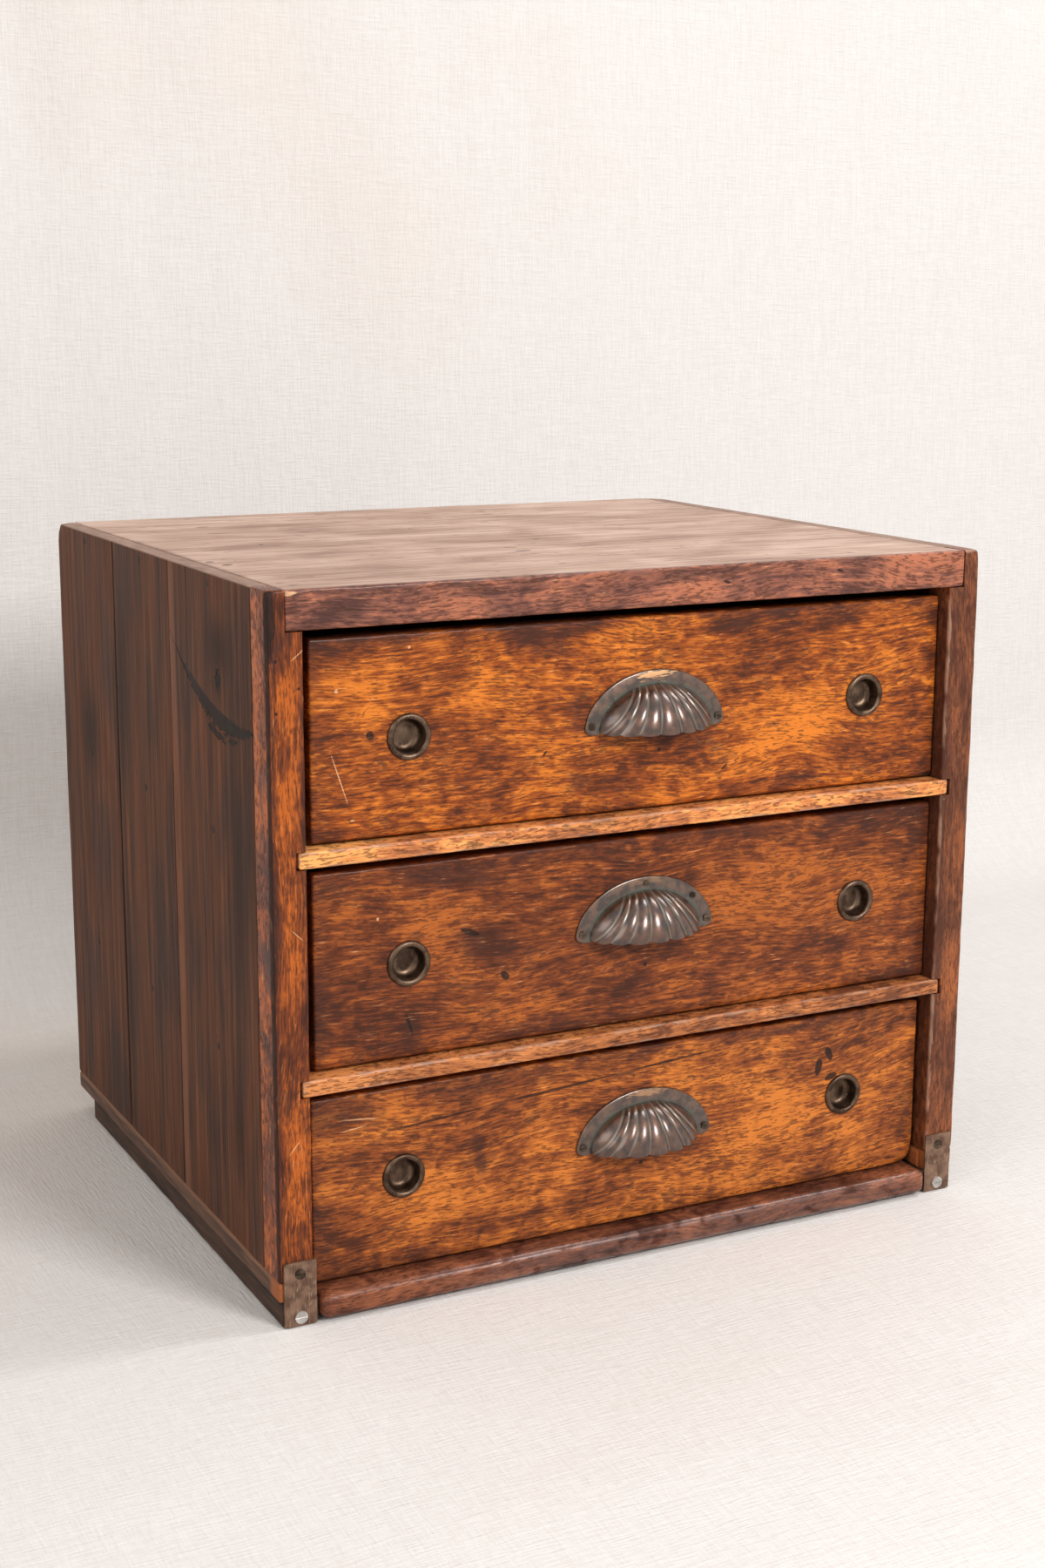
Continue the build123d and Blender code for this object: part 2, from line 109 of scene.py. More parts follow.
class Finish:
    """A material in the making: its nodes, with the shader they end in. Its facing is the number
    of the axis that it is seen along, about which its spots are turned."""

    def __init__(self, name, facing=1, **constants):
        self.facing = facing
        self.material = bpy.data.materials.new(name)
        self.material.use_nodes = True
        self.tree = self.material.node_tree
        self.shader = self.tree.nodes["Principled BSDF"]
        for socket, value in constants.items():
            self.shader.inputs[socket.replace("_", " ")].default_value = value
        self.place = self.node("ShaderNodeTexCoord", output="Object")

    def feed(self, socket, value):
        if isinstance(value, Value):
            self.tree.links.new(value.socket, socket)
        else:
            socket.default_value = value

    def node(self, kind, settings={}, sockets={}, output=0):
        made = self.tree.nodes.new(kind)
        for name, setting in settings.items():
            setattr(made, name, setting)
        for name, value in sockets.items():
            self.feed(made.inputs[name], value)
        return Value(self, made.outputs[output])

    def spread(self, middle, size, turn=0.0, at=None):
        """Places measured from a middle in units of a size, turned by an angle."""
        turns = [0.0, 0.0, 0.0]
        turns[self.facing] = turn
        return self.node("ShaderNodeMapping", {"vector_type": "TEXTURE"}, {
            "Vector": at or self.place,
            "Location": middle,
            "Rotation": turns,
            "Scale": size,
        })

    def cloud(self, size, detail=2.0, seed=0.0, warp=0.0, at=None):
        """Soft noise from 0 to 1, in spots of a size along x, y and z in millimetres."""
        return self.node("ShaderNodeTexNoise", {}, {
            "Vector": self.spread((seed, seed, seed), [along * mm for along in size], at=at),
            "Scale": 1.0,
            "Detail": detail,
            "Distortion": warp,
        })

    def step(self, value, start, end):
        """0 before start and 1 past end, with a soft turn between them."""
        return self.node("ShaderNodeMapRange", {"interpolation_type": "SMOOTHSTEP"}, {
            "Value": value,
            "From Min": start,
            "From Max": end,
        })

    def blend(self, share, colour, other):
        return self.node(
            "ShaderNodeMix", {"data_type": "RGBA"}, {0: share, 6: colour, 7: other}, output=2
        )

    def spot(self, middle, size, turn=0.0, soft=0.5):
        """1 inside an ellipsoid about a middle and 0 outside it."""
        away = self.node(
            "ShaderNodeVectorMath", {"operation": "LENGTH"},
            {0: self.spread(middle, size, turn)}, output="Value",
        )
        return self.step(away, 1.0, 1.0 - soft)

    def spots(self, places, soft=0.5):
        """All of several spots, each a middle, a size and a turn."""
        total = self.spot(*places[0], soft)
        for place in places[1:]:
            total = total.most(self.spot(*place, soft))
        return total

    def axis(self, name, at=None):
        return self.node("ShaderNodeSeparateXYZ", {}, {0: at or self.place}, output=name)

    def shifted(self, name, amount):
        """The places, moved along one axis by a changing amount."""
        move = self.node("ShaderNodeCombineXYZ", {}, {name: amount})
        return self.node("ShaderNodeVectorMath", {"operation": "ADD"}, {0: self.place, 1: move})

    def specks(self, spacing, radius, share):
        """Round dots of a radius, on some share of the cells of a scatter."""
        cells = {"Vector": self.place, "Scale": 1 / spacing}
        away = self.node("ShaderNodeTexVoronoi", {}, cells, output="Distance")
        chance = self.node("ShaderNodeTexVoronoi", {}, cells, output="Color")
        picked = self.step(self.axis("X", chance), 1 - share, 1.001 - share)
        return self.step(away, radius / spacing, 0.4 * radius / spacing) * picked

    def paint(self, colour, roughness, height, depth):
        """Join colour, roughness and relief to the shader, and hand over the material."""
        relief = self.node(
            "ShaderNodeBump", {}, {"Distance": depth, "Height": height}, output="Normal"
        )
        ends = {"Base Color": colour, "Roughness": roughness, "Normal": relief}
        for socket, value in ends.items():
            self.feed(self.shader.inputs[socket], value)
        return self.material


def new_piece(name, points, faces):
    """An object at the origin with a mesh of its own."""
    mesh = bpy.data.meshes.new(name)
    mesh.from_pydata([tuple(point) for point in points], [], [tuple(face) for face in faces])
    piece = bpy.data.objects.new(name, mesh)
    bpy.context.scene.collection.objects.link(piece)
    return piece


cloth_half_width = 1.7
cloth_front_y = -0.66
cloth_wall_y = 0.46
cloth_bend = 0.13
cloth_top_z = 1.7
cloth_step = 0.012
cloth_drop = 0.0006            # the cloth lies just under the skids
fold_start_z = 0.25            # the backdrop hangs in folds from this height
fold_height = 0.55             # and they are at their full depth this much higher
folds_a_metre = 16.0
fold_depth = 0.002
left_fold_depth = 0.013        # added on the left
sway_depth = 0.008
wrinkle_depth = 0.0035         # of the cloth on the floor, away from the chest
flat_half = (0.21, 0.19)       # it lies flat under the chest

rows = [(y, 0.0) for y in np.arange(cloth_front_y, cloth_wall_y - cloth_bend, cloth_step)]
for angle in np.radians(np.arange(0, 90, 6)):
    rows.append((
        cloth_wall_y - cloth_bend + cloth_bend * math.sin(angle),
        cloth_bend - cloth_bend * math.cos(angle),
    ))
rows += [(cloth_wall_y, z) for z in np.arange(cloth_bend, cloth_top_z, cloth_step)]
columns = np.arange(-cloth_half_width, cloth_half_width, cloth_step)
cloth_points = []
for y, z in rows:
    hang = min(1.0, max(0.0, (z - fold_start_z) / fold_height))
    for x in columns:
        fold = noise.noise(Vector((x * folds_a_metre + z * 1.5, 2.0, z * 1.1)))
        sway = noise.noise(Vector((x * 3.0, 5.0, z * 1.6)))
        wrinkle = 0.5 + 0.5 * noise.noise(Vector((x * 7.0 + y * 12.0, y * 6.0 - x * 9.0, z)))
        left = 1.0 / (1.0 + math.exp(9.0 * (x + 0.05)))
        outside = [max(0.0, abs(at) - half) for at, half in zip((x, y), flat_half)]
        away = min(1.0, 5.0 * math.hypot(*outside))
        sunk = cloth_drop + wrinkle_depth * wrinkle * away * (1.0 - hang)
        moved = sway_depth * sway + (fold_depth + left_fold_depth * left) * fold
        cloth_points.append((x, y + hang * moved, z - sunk))
wide = len(columns)
cloth_faces = [
    (r * wide + c, r * wide + c + 1, (r + 1) * wide + c + 1, (r + 1) * wide + c)
    for r in range(len(rows) - 1)
    for c in range(wide - 1)
]
cloth = new_piece("linen_sweep", cloth_points, cloth_faces)
cloth.data.shade_smooth()

linen = Finish("pale_linen", Specular_IOR_Level=0.1)
warp_threads = linen.cloud((1.4, 12, 12))
weft_threads = linen.cloud((12, 1.4, 1.4), seed=3.0)
slubs = linen.cloud((2.5, 50, 50), seed=5.0) * 0.6 + linen.cloud((50, 2.5, 2.5)) * 0.4
stains = linen.step(linen.cloud((500, 400, 500), 3.0, seed=8.0), 0.45, 0.8)
weave = warp_threads * 0.5 + weft_threads * 0.5
thread = linen.step(weave * 0.6 + slubs * 0.4, 0.15, 0.85)
linen_colour = linen.blend(thread, srgb(217, 212, 208), srgb(233, 230, 228))
linen_colour = linen.blend(stains * 0.3, linen_colour, srgb(222, 204, 188))
seen = linen.node("ShaderNodeLightPath", output="Is Camera Ray")
behind = linen.node("ShaderNodeNewGeometry", output="Backfacing")
linen.feed(linen.shader.inputs["Alpha"], 1.0 - seen * behind)   # a view from behind sees past it
cloth.data.materials.append(linen.paint(linen_colour, 0.9, weave * 0.8 + slubs * 0.2, 0.0012))


def lamp(name, place, aim, size, power, colour):
    """An area lamp of some width and height that looks at a point."""
    light = bpy.data.lights.new(name, "AREA")
    light.shape = "RECTANGLE"
    light.size, light.size_y = size
    light.energy = power
    light.color = colour
    stand = bpy.data.objects.new(name, light)
    stand.location = place
    stand.rotation_euler = (Vector(aim) - Vector(place)).to_track_quat("-Z", "Y").to_euler()
    bpy.context.scene.collection.objects.link(stand)


lamp("key_lamp", (0.45, -1.67, 1.15), (0.0, 0.0, 0.2), (0.55, 0.55), 24.5, (1.0, 0.985, 0.97))
lamp("overhead_lamp", (1.15, -0.35, 1.9), (1.15, 0.1, 0.0), (1.1, 0.25), 13.0, (0.98, 0.99, 1.0))
lamp("window", (-1.5, -1.0, 1.1), (-0.2, 0.1, 0.1), (1.0, 1.0), 8.0, (1.0, 0.95, 0.9))

room = bpy.data.worlds.new("room")
room.use_nodes = True
room.node_tree.nodes["Background"].inputs["Color"].default_value = (1.0, 0.98, 0.965, 1.0)
rays = room.node_tree.nodes.new("ShaderNodeLightPath")
level = room.node_tree.nodes.new("ShaderNodeMapRange")
level.inputs["To Min"].default_value = 0.54        # what lights the chest
level.inputs["To Max"].default_value = 0.9         # what the camera and the metal see past the cloth
total = level.inputs["Value"]
for ray in ("Is Camera Ray", "Is Glossy Ray", "Is Transmission Ray"):
    add = room.node_tree.nodes.new("ShaderNodeMath")
    add.inputs[1].default_value = 0.0
    room.node_tree.links.new(rays.outputs[ray], add.inputs[0])
    room.node_tree.links.new(add.outputs[0], total)
    total = add.inputs[1]
room.node_tree.links.new(level.outputs[0], room.node_tree.nodes["Background"].inputs["Strength"])
bpy.context.scene.world = room
bpy.context.scene.view_settings.view_transform = "Standard"

stile_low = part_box("left_front_stile")[0]
camera_from_front = 0.9877     # from the stile faces
camera_lens = bpy.data.cameras.new("camera")
camera_lens.lens = 51.43
camera = bpy.data.objects.new("camera", camera_lens)
camera.location = (-0.5773, stile_low.y - camera_from_front, 0.5109)
camera.rotation_euler = [math.radians(a) for a in (77.6821841, -0.22905478, -26.97423812)]
bpy.context.scene.collection.objects.link(camera)
bpy.context.scene.camera = camera

# ---- Skids and base rails ------------------------------------------------------------
# Two rough softwood skids carry the chest. On each lies a base rail, which shows as a ledge
# under the side and guides the lowest drawer inside. Its worn upper arris is painted paler
# as a painted highlight of light from above.

wide_arris = 2.0 * mm          # from here an arris gets more grid lines
past = 5 * mm                  # how far a cutter reaches past the wood


def ruled(low, high, arris, step):
    """Grid lines along one side of a board: close round its arrises, even between."""
    cuts = 6 if arris > wide_arris else 3
    round_lines = arris * (1 - np.tan(np.linspace(math.pi / 4, 0, cuts + 1)))[:-1]
    spans = max(1, round((high - low - 2 * arris) / step))
    even = np.linspace(low + arris, high - arris, spans + 1)
    return np.concatenate([low + round_lines, even, (high - round_lines)[::-1]])


def ripple(point, length, seed):
    return noise.noise(Vector(point) / length + Vector((seed, 3.1 * seed, 7.7 * seed)))


def worn_board(name, low, high, arris=0.8 * mm, wear=0.4, dip=0.12 * mm, step=4 * mm, chips=()):
    """A board with uneven rounded arrises and faces that dip a little. A chip is a place, the
    reach of its wear and the extra rounding there."""
    low, high = np.array(low), np.array(high)
    seed = sum(map(ord, name)) % 97
    lines = [ruled(a, b, arris, step) for a, b in zip(low, high)]
    grid = np.stack(np.meshgrid(*lines, indexing="ij"), -1)
    outer = np.zeros(grid.shape[:3], bool)
    outer[[0, -1]] = outer[:, [0, -1]] = outer[:, :, [0, -1]] = True
    number = np.full(grid.shape[:3], -1)
    number[outer] = np.arange(outer.sum())
    faces = []
    for axis in range(3):
        for end in (0, -1):
            layer = np.moveaxis(number, axis, 0)[end]
            corners = [layer[:-1, :-1], layer[1:, :-1], layer[1:, 1:], layer[:-1, 1:]]
            quads = np.stack(corners, -1).reshape(-1, 4)
            faces += list(quads[:, ::-1] if (axis == 1) == (end == -1) else quads)
    points = grid[outer]
    rounding = np.array([arris * (1 + wear * ripple(p, 14 * mm, seed)) for p in points])
    for place, reach, extra in chips:
        away = np.linalg.norm(points - np.array(place), axis=1) / reach
        rounding += extra * np.exp(-away ** 2)
    rounding = np.minimum(rounding, (high - low).min() / 2.01)[:, None]
    sunk = np.array([dip * (0.5 + 0.5 * ripple(p, 45 * mm, seed + 5)) for p in points])[:, None]
    core = np.clip(points, low + rounding, high - rounding)
    out = points - core
    out /= np.linalg.norm(out, axis=1)[:, None]
    piece = new_piece(name, core + out * (rounding - sunk), faces)
    piece.data.shade_smooth()
    return piece


def block(cutter, low, high):
    """Add a rectangular block to a cutter."""
    low, high = Vector(low), Vector(high)
    size = Matrix.Diagonal((*(high - low), 1.0))
    bmesh.ops.create_cube(cutter, size=1.0, matrix=Matrix.Translation((low + high) / 2) @ size)


def cut(piece, cutter):
    """Cut the closed shapes of a cutter out of a piece."""
    mesh = bpy.data.meshes.new("cutter")
    cutter.to_mesh(mesh)
    cutter.free()
    tool = bpy.data.objects.new("cutter", mesh)
    bpy.context.scene.collection.objects.link(tool)
    change = piece.modifiers.new("cut", "BOOLEAN")
    change.operation = "DIFFERENCE"
    change.solver = "EXACT"
    change.use_self = True
    change.object = tool
    settle(piece)
    bpy.data.objects.remove(tool)
    piece.data.shade_smooth()
    piece.data.set_sharp_from_angle(angle=math.radians(38))


def settle(piece):
    """Make a piece's modifiers part of its mesh."""
    bpy.context.view_layer.update()
    solid = piece.evaluated_get(bpy.context.evaluated_depsgraph_get())
    piece.data = bpy.data.meshes.new_from_object(solid)
    piece.modifiers.clear()


def stand_for(piece, material, body, slot, *named):
    """Give a piece its finish, and let it stand for CAD nodes on their body."""
    piece.data.materials.clear()
    piece.data.materials.append(material)
    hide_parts(*named)
    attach(piece, body)


def dry_softwood(name, dark, middle, light, length, fine, seed=0.0):
    """The start of a bare old softwood: the finish, its colour and its grain. The lengths are of
    its broad and fine grain in millimetres."""
    wood = Finish(name, Specular_IOR_Level=0.25)
    broad = wood.cloud(length, 3.0, seed, warp=0.3)
    thin = wood.cloud(fine, 2.0, seed + 1)
    colour = wood.blend(wood.step(broad, 0.35, 0.65), srgb(*dark), srgb(*middle))
    colour = wood.blend(wood.step(thin, 0.45, 0.75) * 0.6, colour, srgb(*light))
    colour = wood.blend(wood.step(thin, 0.42, 0.3) * 0.5, colour, srgb(*dark))
    return wood, colour, thin * 0.7 + broad * 0.3


def plain_softwood(depth, *looks):
    """Bare old softwood with relief of a depth."""
    wood, colour, grain = dry_softwood(*looks)
    return wood.paint(colour, 0.75, grain, depth)


skid_finish = plain_softwood(
    0.6 * mm, "skid_softwood", (42, 31, 26), (70, 51, 41), (98, 72, 56), (20, 90, 14), (2, 30, 1.5)
)

ledge_wood, ledge_colour, ledge_grain = dry_softwood(
    "base_rail_wood", (62, 43, 34), (100, 70, 53), (140, 98, 70), (20, 80, 6), (2, 26, 1.2)
)
ledge_low, ledge_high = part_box("left_base_rail")
# Painted highlight: the rounded top of the ledge is painted paler, as if lit from above.
ledge_top_painted_highlight = ledge_wood.step(
    ledge_wood.axis("Z") + ledge_grain * (3 * mm), ledge_high.z - 2 * mm, ledge_high.z + 1 * mm
)
ledge_colour = ledge_wood.blend(ledge_top_painted_highlight * 0.6, ledge_colour, srgb(150, 106, 76))
ledge_front = ledge_wood.step(ledge_wood.axis("Y"), ledge_low.y + 14 * mm, ledge_low.y + 10 * mm)
ledge_front = ledge_front * (0.5 + ledge_grain * 0.6)
ledge_colour = ledge_wood.blend(ledge_front, ledge_colour, srgb(160, 90, 44))
ledge_finish = ledge_wood.paint(ledge_colour, 0.55, ledge_grain, 0.4 * mm)

rail_set_back = 5.0 * mm
for hand, sign in (("left", -1), ("right", 1)):
    low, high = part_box(f"{hand}_skid")
    skid = worn_board(f"{hand}_skid_wood", low, high, 1.2 * mm, 0.6, 0.3 * mm, 6 * mm)
    stand_for(skid, skid_finish, "carcass", "side_cedar", f"{hand}_skid")

    low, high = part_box(f"{hand}_base_rail")
    rail = worn_board(f"{hand}_base_rail_wood", low, high, 2.2 * mm, 0.25, 0.2 * mm, 5 * mm)
    step_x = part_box(f"{hand}_front_stile")[0 if sign > 0 else 1].x
    inner_x = low.x if sign > 0 else high.x
    notch = bmesh.new()
    block(
        notch,
        (min(step_x, inner_x - sign * past), low.y - past, low.z - past),
        (max(step_x, inner_x - sign * past), low.y + rail_set_back, high.z + past),
    )
    cut(rail, notch)
    stand_for(rail, ledge_finish, "carcass", "lacquered_oak", f"{hand}_base_rail")

# ---- Bottom board and nosing ---------------------------------------------------------
# The bottom board lies between the base rails. Its front edge is hidden by a half-round
# hardwood nosing, dark, with rounded ends and polished from wear but for its left end.


def on_face(facing, depth, rows):
    """Spots on a face that is seen along an axis, at a depth. Each row has the middle and the
    half sizes along the other two axes in millimetres, and the turn if there is one."""
    spots = []
    for first, second, wide, high, *turn in rows:
        middle = [first * mm, second * mm]
        size = [wide * mm, high * mm]
        middle.insert(facing, depth)
        size.insert(facing, 1)
        spots.append((middle, size, turn[0] if turn else 0))
    return spots


def on_front(*rows):
    return on_face(1, 0, rows)


def lacquered_oak(
        name, along, box, tones, seed, edge=0.6, rub=0.5, gloss=0.15, haze=0.16, clean=(0, 0, 0, 0),
        glow=(), grime=(), marks=(), cracks=(), pale=(), shine=()):
    """Old oak under worn brown lacquer, with its grain along x or z. Tones are its dark, middle
    and bright colours. Edge is how dark it gets towards the edges of its box, rub how pale its
    front arrises are painted, partly as worn lacquer and partly as a painted highlight, gloss and
    haze the weight and roughness of the lacquer. The clean distances keep the dirt from its left,
    right, lower and upper edges. The rest are lists of spots: rubbed bright, dirty, gouged, split,
    scratched pale and polished. Where there are pale scratches, the arrises are pale only in them."""
    oak = Finish(name, Coat_Weight=gloss, Coat_Roughness=haze, Specular_IOR_Level=0.15)
    low, high = box
    across = "Z" if along == "x" else "X"

    def grain(far, thick):
        return (far, 3 * thick, thick) if along == "x" else (thick, 3 * thick, far)

    wander = oak.cloud(grain(110, 60), 1.0, seed + 9) - 0.5
    flow = oak.shifted(across, wander * (24 * mm))
    broad = oak.cloud(grain(60, 30), 4.0, seed, warp=0.4)
    streak = oak.cloud(grain(46, 2.2), 3.0, seed + 1, warp=0.1, at=flow)
    fibre = oak.cloud(grain(9, 0.9), 2.0, seed + 2, warp=0.3, at=flow)
    dash = oak.cloud(grain(4.6, 0.85), 1.0, seed + 3, warp=0.3, at=flow)
    gather = oak.cloud(grain(24, 12), 2.0, seed + 4)
    mottle = oak.cloud(grain(13, 8), 5.0, seed + 6, warp=0.8)

    bright_area = oak.spots(glow, 1.0) if glow else 0.0
    dirty_area = oak.spots(grime, 0.8) if grime else 0.0
    tone = broad * 0.3 + streak * 0.2 + fibre * 0.25 + mottle * 0.25
    tone = tone + bright_area * 0.085 - dirty_area * 0.03
    dark, middle, bright = (srgb(*colour) for colour in tones)
    colour = oak.blend(oak.step(tone, 0.41, 0.51), dark, middle)
    colour = oak.blend(oak.step(tone, 0.485, 0.61), colour, bright)
    pores = oak.step(dash + gather * 0.3, 0.70, 0.77)
    colour = oak.blend(pores * 0.62, colour, srgb(72, 34, 18))

    along_z = oak.axis("Z")
    along_x = oak.axis("X")
    from_edges = [along_x - low.x, high.x - along_x, along_z - low.z, high.z - along_z]
    margin = arris = from_edges[0] + 1.0
    for from_edge, kept_clean in zip(from_edges, clean):
        margin = margin.least(from_edge + kept_clean)
        arris = arris.least(from_edge)
    dirt = oak.step(margin + (broad - 0.5) * (40 * mm) + (mottle - 0.5) * (20 * mm), 12 * mm, -5 * mm)
    smudge = (dirty_area * oak.step(mottle, 0.40, 0.52)).least(1.0) * 0.75 if grime else 0.0
    dirt = (dirt * edge).most(smudge)
    colour = oak.blend(dirt * 0.8, colour, srgb(64, 36, 28))
    stain = oak.step(mottle * 0.7 + gather * 0.3, 0.585, 0.64)
    colour = oak.blend(stain * 0.4, colour, srgb(62, 38, 32))
    relief = fibre * 0.3 + streak * 0.3 + (1 - pores) * 0.4
    if marks:
        scar = oak.step(oak.spots(marks, 0.6) + (mottle - 0.5) * 1.6 + (fibre - 0.5) * 0.8, 0.35, 0.6)
        colour = oak.blend(scar * 0.9, colour, srgb(34, 20, 15))
        relief = relief - scar * 1.6
    if pale:
        rub = oak.step(oak.spots(pale, 0.8) * 1.2 + (fibre - 0.5) * 2.0, 0.3, 0.8)
        colour = oak.blend(rub * 0.75, colour, srgb(228, 176, 128))
    if cracks:
        split = oak.spots(cracks, 0.5)
        colour = oak.blend(split * 0.85, colour, srgb(44, 28, 22))
        relief = relief - split * 2.0
    # Front arrises painted pale: partly worn lacquer, partly a painted highlight of the lamps' glint on the
    # rounded edge.
    in_front = oak.step(oak.axis("Y"), low.y + 2.5 * mm, low.y + 1.2 * mm)
    rubbed = oak.step(arris + (fibre - 0.5) * (4 * mm), 1.6 * mm, 0.6 * mm) * in_front
    rubbed = rubbed * oak.step(gather, 0.40, 0.58) * rub
    colour = oak.blend(rubbed, colour, srgb(190, 150, 126))
    nicks = oak.specks(15 * mm, 0.5 * mm, 0.3)
    colour = oak.blend(nicks * 0.6, colour, srgb(204, 160, 130))
    roughness = 0.24 + mottle * 0.3 + pores * 0.15 + dirt * 0.15
    if shine:
        polish = oak.spots(shine, 0.4) * oak.step(mottle, 0.36, 0.5)
        oak.feed(oak.shader.inputs["Coat Weight"], gloss + polish * (1 - gloss))
    return oak.paint(colour, roughness, relief + nicks, 0.35 * mm)


low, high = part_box("bottom_nosing")
nosing = worn_board("bottom_nosing_wood", low, high, 4.6 * mm, 0.08, 0.25 * mm, 5 * mm)
nosing_finish = lacquered_oak(
    "nosing_oak", "x", (low, high), ((60, 32, 25), (106, 60, 42), (148, 88, 58)), 2.0,
    edge=0.5, rub=0.0, haze=0.28, clean=(0.1, 0.1, 0.02, 0.02),
    shine=on_front((40, 30, 190, 1000)),
)
stand_for(nosing, nosing_finish, "carcass", "lacquered_oak", "bottom_nosing")

inner_finish = plain_softwood(
    0.4 * mm, "inner_softwood", (118, 84, 58), (164, 124, 88), (190, 152, 112),
    (120, 24, 10), (40, 3, 1.2),
)
deep_finish = plain_softwood(     # with its grain from front to back
    0.4 * mm, "side_softwood", (112, 80, 56), (160, 120, 86), (186, 148, 110),
    (9, 150, 12), (1.4, 45, 1.4), 4.0,
)


def refinish(material, *named):
    """Give CAD nodes whose shape is right a better finish."""
    for name in named:
        nodes[name].data.materials.clear()
        nodes[name].data.materials.append(material)


refinish(inner_finish, "bottom_board")

# ---- Front stiles --------------------------------------------------------------------
# Lacquered oak posts at the front corners, notched for the top rail and the shelf rails.
# The left one is dark with dirt along its outer edge, and orange where it is rubbed.

stile_looks = {
    "left": {
        "tones": ((62, 29, 16), (108, 52, 24), (182, 93, 31)),
        "glow": [
            ((-0.211, -0.1575, 0.2), (0.003, 0.013, 0.6), 0),
            ((-0.2, -0.1735, 0.325), (0.009, 0.01, 0.035), 0),
            *on_front((-200, 270, 10, 30), (-199, 200, 9, 50), (-199, 90, 9, 70)),
        ],
        "grime": [
            ((-0.2095, -0.1735, 0.22), (0.005, 0.004, 0.3), 0),
            ((-0.19, -0.1735, 0.25), (0.005, 0.01, 0.14), 0),
            ((-0.203, -0.1735, 0.345), (0.009, 0.004, 0.02), 0),
        ],
        "marks": [
            ((-0.2095, -0.1735, 0.362), (0.006, 0.004, 0.028), 0),
            *on_front((-205.3, 340.5, 1.1, 1.1), (-193.7, 326.7, 1, 1), (-205.4, 315.3, 1.1, 1.1)),
        ],
        "cracks": [((-0.2098, -0.1735, 0.2), (0.0014, 0.0024, 0.5), 0)],
        "pale": on_front(
            (-194, 343, 0.4, 6, 0.9), (-197, 205, 0.4, 7, -0.8), (-200, 95, 0.4, 8, 0.7),
        ),
    },
    "right": {
        "tones": ((80, 44, 29), (112, 64, 41), (156, 89, 49)),
        "glow": on_front((203, 120, 9, 50)),
        "grime": on_front((192, 200, 5, 200)),
    },
}
for hand, sign in (("left", -1), ("right", 1)):
    low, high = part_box(f"{hand}_front_stile")
    stile = worn_board(
        f"{hand}_front_stile_wood", low, high, 1.3 * mm, 0.5, 0.15 * mm, 4 * mm,
        [((low.x if sign < 0 else high.x, low.y, high.z), 7 * mm, 1.4 * mm)],
    )
    notches = bmesh.new()
    housing = 5.5 * mm
    inner_x = low.x if sign > 0 else high.x
    for level in ("upper", "lower"):
        rail_low, rail_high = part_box(f"{level}_shelf_rail")
        xs = sorted((inner_x - sign * past, inner_x + sign * housing))
        block(notches, (xs[0], low.y - past, rail_low.z - 0.3 * mm),
              (xs[1], high.y + past, rail_high.z + 0.3 * mm))
    rail_low, rail_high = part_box("top_front_rail")
    rail_x = (rail_high.x if sign > 0 else rail_low.x) + sign * 0.25 * mm
    xs = sorted((inner_x - sign * past, rail_x))
    block(notches, (xs[0], low.y - past, rail_low.z - 0.25 * mm),
          (xs[1], high.y + past, high.z + past))
    cut(stile, notches)
    finish = lacquered_oak(
        f"{hand}_stile_oak", "z", (low, high), seed=11.0 + sign, edge=0.45,
        clean=(0.01, 0.01, 0.02, 0.01), **stile_looks[hand],
    )
    stand_for(stile, finish, "carcass", "lacquered_oak", f"{hand}_front_stile")

# ---- Side boards ---------------------------------------------------------------------
# Each side is three upright softwood boards, dark with age and nailed to the shelves. The
# rear joint has opened, and near the front of the left side the wood is torn beside a knot.


def on_left(*rows):
    """Spots on the left side, by their places along y and z."""
    return on_face(0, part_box("left_side_board_front")[0].x, rows)


